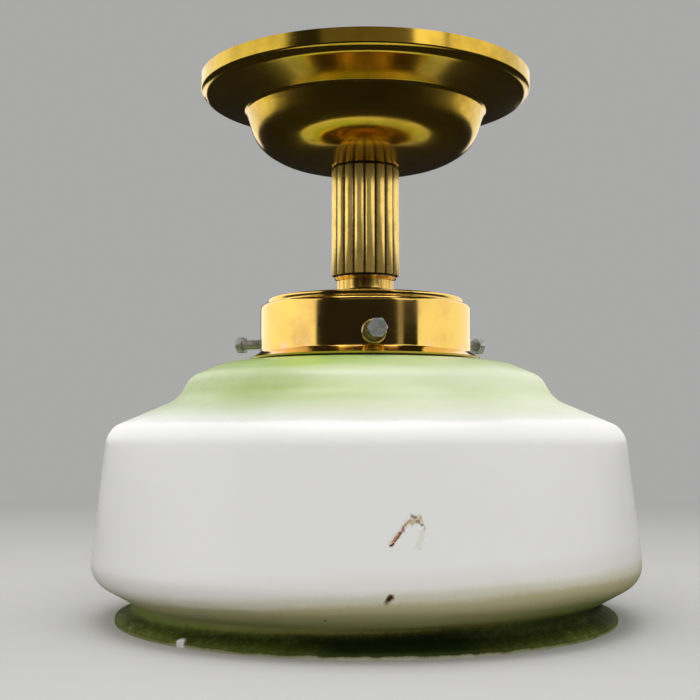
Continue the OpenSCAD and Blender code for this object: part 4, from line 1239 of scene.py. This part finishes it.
# The rim's bands lean, lower on the left than they rise on the right: partly a tilt across the glass, partly
# painted light, the waist whiter on the left where light falls.
lean_and_left_light = figure(tree, "ADD", stretched(tree, at[0], -0.1, 0, 6.5, 0), stretched(tree, at[0], 0, 0.1, 0, -3))
leaning_and_left_light = times(tree, lean_and_left_light, stretched(tree, height, -264, -258, 0, 1))
low_height = moved_height(figure(tree, "ADD", height, leaning_and_left_light), (streaks, 5.0), (dots, 1.3), (mottle, 1.5))
edge_height = moved_height(height, (worn, 2.4), (dots, 0.5))
off_edge = stretched(tree, height, -266.3, -264, 0, 1)
rim_height = add_node(tree, "ShaderNodeMix", i0=off_edge, i2=edge_height, i3=low_height).outputs[0]
high_height = moved_height(height, (streaks, 9.0), (dots, 2.5))
rim_colour = banded(tree, rim_height, -268.2, -230, rim_bands_with_painted_shade)
crown_colour = banded(tree, high_height, -174.2, -143, crown_bands_with_painted_light)
upper_half = stretched(tree, height, -201, -200, 0, 1)
sprayed = mixed(tree, upper_half, rim_colour, crown_colour)

# Painted light: the dark lip is lit to a paler green at both sides, patchily, and stays dark in front, in the
# body's shade.
patchy_side_light = placed(tree, patches, Scale=16, Amount=0.45, Softness=0.3, Seed=40)
off_middle = figure(tree, "ABSOLUTE", at[0])
in_lip = stretched(tree, height, -261.5, -256.5, 1, 0)
to_edge = stretched(tree, height, -266.8, -262.5, 1, 0.5)
to_side = add_node(
    tree, "ShaderNodeMix", i0=stretched(tree, at[0], -0.001, 0.001, 0, 1),
    i2=stretched(tree, at[0], -0.085, -0.02, 0.8, 0.03), i3=stretched(tree, at[0], 0.03, 0.09, 0.03, 1))
side_light_share = figure(tree, "ADD", 0.35, times(tree, patchy_side_light, 0.65))
lip_side_light = times(tree, side_light_share, times(tree, times(tree, in_lip, to_side.outputs[0]), to_edge))
sprayed = mixed(tree, lip_side_light, sprayed, lit_lip_green)
# Painted shade: the waist's green turns darker towards the sides.
to_sides = stretched(tree, off_middle, 0.02, 0.09, 0.12, 0.75)
in_waist = times(
    tree, stretched(tree, low_height, -249, -254, 0, 1), stretched(tree, low_height, -262.5, -256, 0, 1))
sprayed = mixed(tree, times(tree, to_sides, in_waist), sprayed, waist_shade_green)
speckle = times(tree, stretched(tree, mottle, 0.48, 0.75, 0, 0.7), lip_side_light)
sprayed = mixed(tree, speckle, sprayed, speckle_green)
# Ragged patches of the lit lip are painted back to the dark of its shade.
shaded_patches = times(tree, stretched(tree, worn, 0.42, 0.3, 0, 0.7), lip_side_light)
sprayed = mixed(tree, shaded_patches, sprayed, lip_shade_dark)
# Pale clouds in the crown's spray, and painted light paling it further on the right front, where light falls.
crown_cloud = placed(tree, patches, Scale=22, Amount=0.4, Softness=0.35, Seed=44)
in_crown = stretched(tree, height, -172, -166, 0, 1)
right_front_light = times(
    tree, stretched(tree, at[0], -0.005, 0.035, 0, 0.4), stretched(tree, at[0], 0.065, 0.09, 1, 0))
clouds_and_right_light = figure(tree, "ADD", times(tree, crown_cloud, 0.3), right_front_light)
sprayed = mixed(tree, times(tree, in_crown, clouds_and_right_light), sprayed, crown_pale_and_lit)
below_neck = times(
    tree, stretched(tree, high_height, -171.5, -160, 0, 1), stretched(tree, high_height, -154, -148, 1, 0.3))
from_left = stretched(tree, at[0], -0.085, 0.0, 0.85, 0, "SMOOTHSTEP")
in_front = stretched(tree, at[1], -0.04, 0.03, 1, 0.15, "SMOOTHSTEP")
at_left = times(tree, times(tree, from_left, in_front), below_neck)
greener = times(tree, at_left, figure(tree, "SUBTRACT", 1.1, times(tree, crown_cloud, 0.5)))
sprayed = mixed(tree, greener, sprayed, crown_green)

# The stains: strokes from one place to another in mm, with their width and
# raggedness in mm, their colour and how far they cover the glass.
rust = (0.42, 0.15, 0.06)
rust_dark = (0.09, 0.04, 0.015)
tan = (0.5, 0.38, 0.17)
olive = (0.05, 0.045, 0.015)
stains = [
    ((0.3, -131.4, -222), (7, -130.3, -213.6), 1.6, 2.4, (0.72, 0.52, 0.36), 0.55),
    ((0.8, -131.2, -221.4), (5, -130.6, -216.6), 0.9, 1.6, rust, 0.85),
    ((0, -131.4, -222.6), (1.2, -131.2, -221.8), 0.7, 0.8, rust_dark, 1),
    ((1.8, -131.2, -221), (5.2, -130.6, -216.4), 0.45, 1.0, rust_dark, 0.9),
    ((3.4, -131, -217.8), (5.8, -130.6, -214.4), 0.4, 1.1, rust_dark, 0.85),
    ((5.6, -130.4, -215.2), (7.6, -130.2, -212.8), 0.4, 1.3, (0.3, 0.22, 0.1), 0.8),
    ((8.4, -129.9, -213.6), (11.2, -129.6, -212.8), 2.0, 4.5, tan, 0.75),
    ((8.8, -129.8, -211.4), (12.6, -129.6, -214.8), 0.9, 3.2, (0.24, 0.17, 0.07), 0.8),
    ((13.2, -129.6, -215.6), (13.4, -129.7, -217), 0.7, 1.6, (0.42, 0.38, 0.28), 0.7),
    ((12.4, -129.9, -218), (10.8, -130.9, -223.4), 1.8, 5.0, (0.6, 0.57, 0.42), 0.3),
    ((-1.2, -133.6, -244.2), (0.2, -133.6, -242.2), 2.1, 2.0, (0.5, 0.42, 0.14), 0.5),
    ((-2.1, -133.6, -245), (-0.3, -133.6, -242.4), 1.9, 1.0, (0.04, 0.006, 0.002), 1),
    ((-5.2, -133.5, -245.4), (-2.8, -133.5, -245.4), 0.95, 0.4, olive, 1),
    ((-85.2, -101.9, -247.2), (-85.1, -101.9, -247.5), 0.95, 0.3, (0.02, 0.015, 0.005), 1),
    ((-25, -121, -252.7), (-24.8, -121, -252.7), 0.8, 0.4, olive, 1),
    ((-77, -107.6, -248), (-71, -111.6, -248.2), 1.8, 3.0, (0.4, 0.3, 0.2), 0.5),
    ((-47, -125.5, -247.4), (-37, -128.8, -246.4), 1.3, 2.6, (0.25, 0.2, 0.07), 0.7),
]
marked = sprayed
for start, end, width, ragged_by, stain, cover in stains:
    stroke = placed(
        tree, strokes, From=Vector(start) * MM, To=Vector(end) * MM, Width=width * MM, Ragged=ragged_by * MM)
    marked = mixed(tree, times(tree, stroke, cover), marked, (*stain, 1))
bare_chip = placed(
    tree, strokes, From=Vector((-84.2, -88.2, -268.5)) * MM, To=Vector((-84.2, -88, -265.6)) * MM,
    Width=0.0032, Ragged=0.0012)
marked = mixed(tree, bare_chip, marked, chip_white)
outside = add_node(tree, "ShaderNodeAttribute", attribute_name="outer_face").outputs["Fac"]
fed(tree, shader, Base_Color=mixed(tree, outside, inner_white, marked))
shader.inputs["IOR"].default_value = 1.5
fed(tree, shader, Specular_IOR_Level=stretched(tree, height, -259, -255, 0.1, 0.5))
matt = placed(tree, patches, Scale=30, Amount=0.5, Softness=0.3, Seed=48)
rim_rougher = times(tree, stretched(tree, height, -259, -255, 0.35, 0), outside)
roughness = figure(tree, "ADD", stretched(tree, matt, 0, 1, 0.32, 0.44), rim_rougher)
skin_height = figure(tree, "ADD", noisy(tree, 45.0, 2.0), times(tree, dots, 0.06))
fed(tree, shader, Roughness=roughness, Normal=relief(tree, skin_height, 0.0006, 0.5))
painted(shade, glass_paint)

low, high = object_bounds()
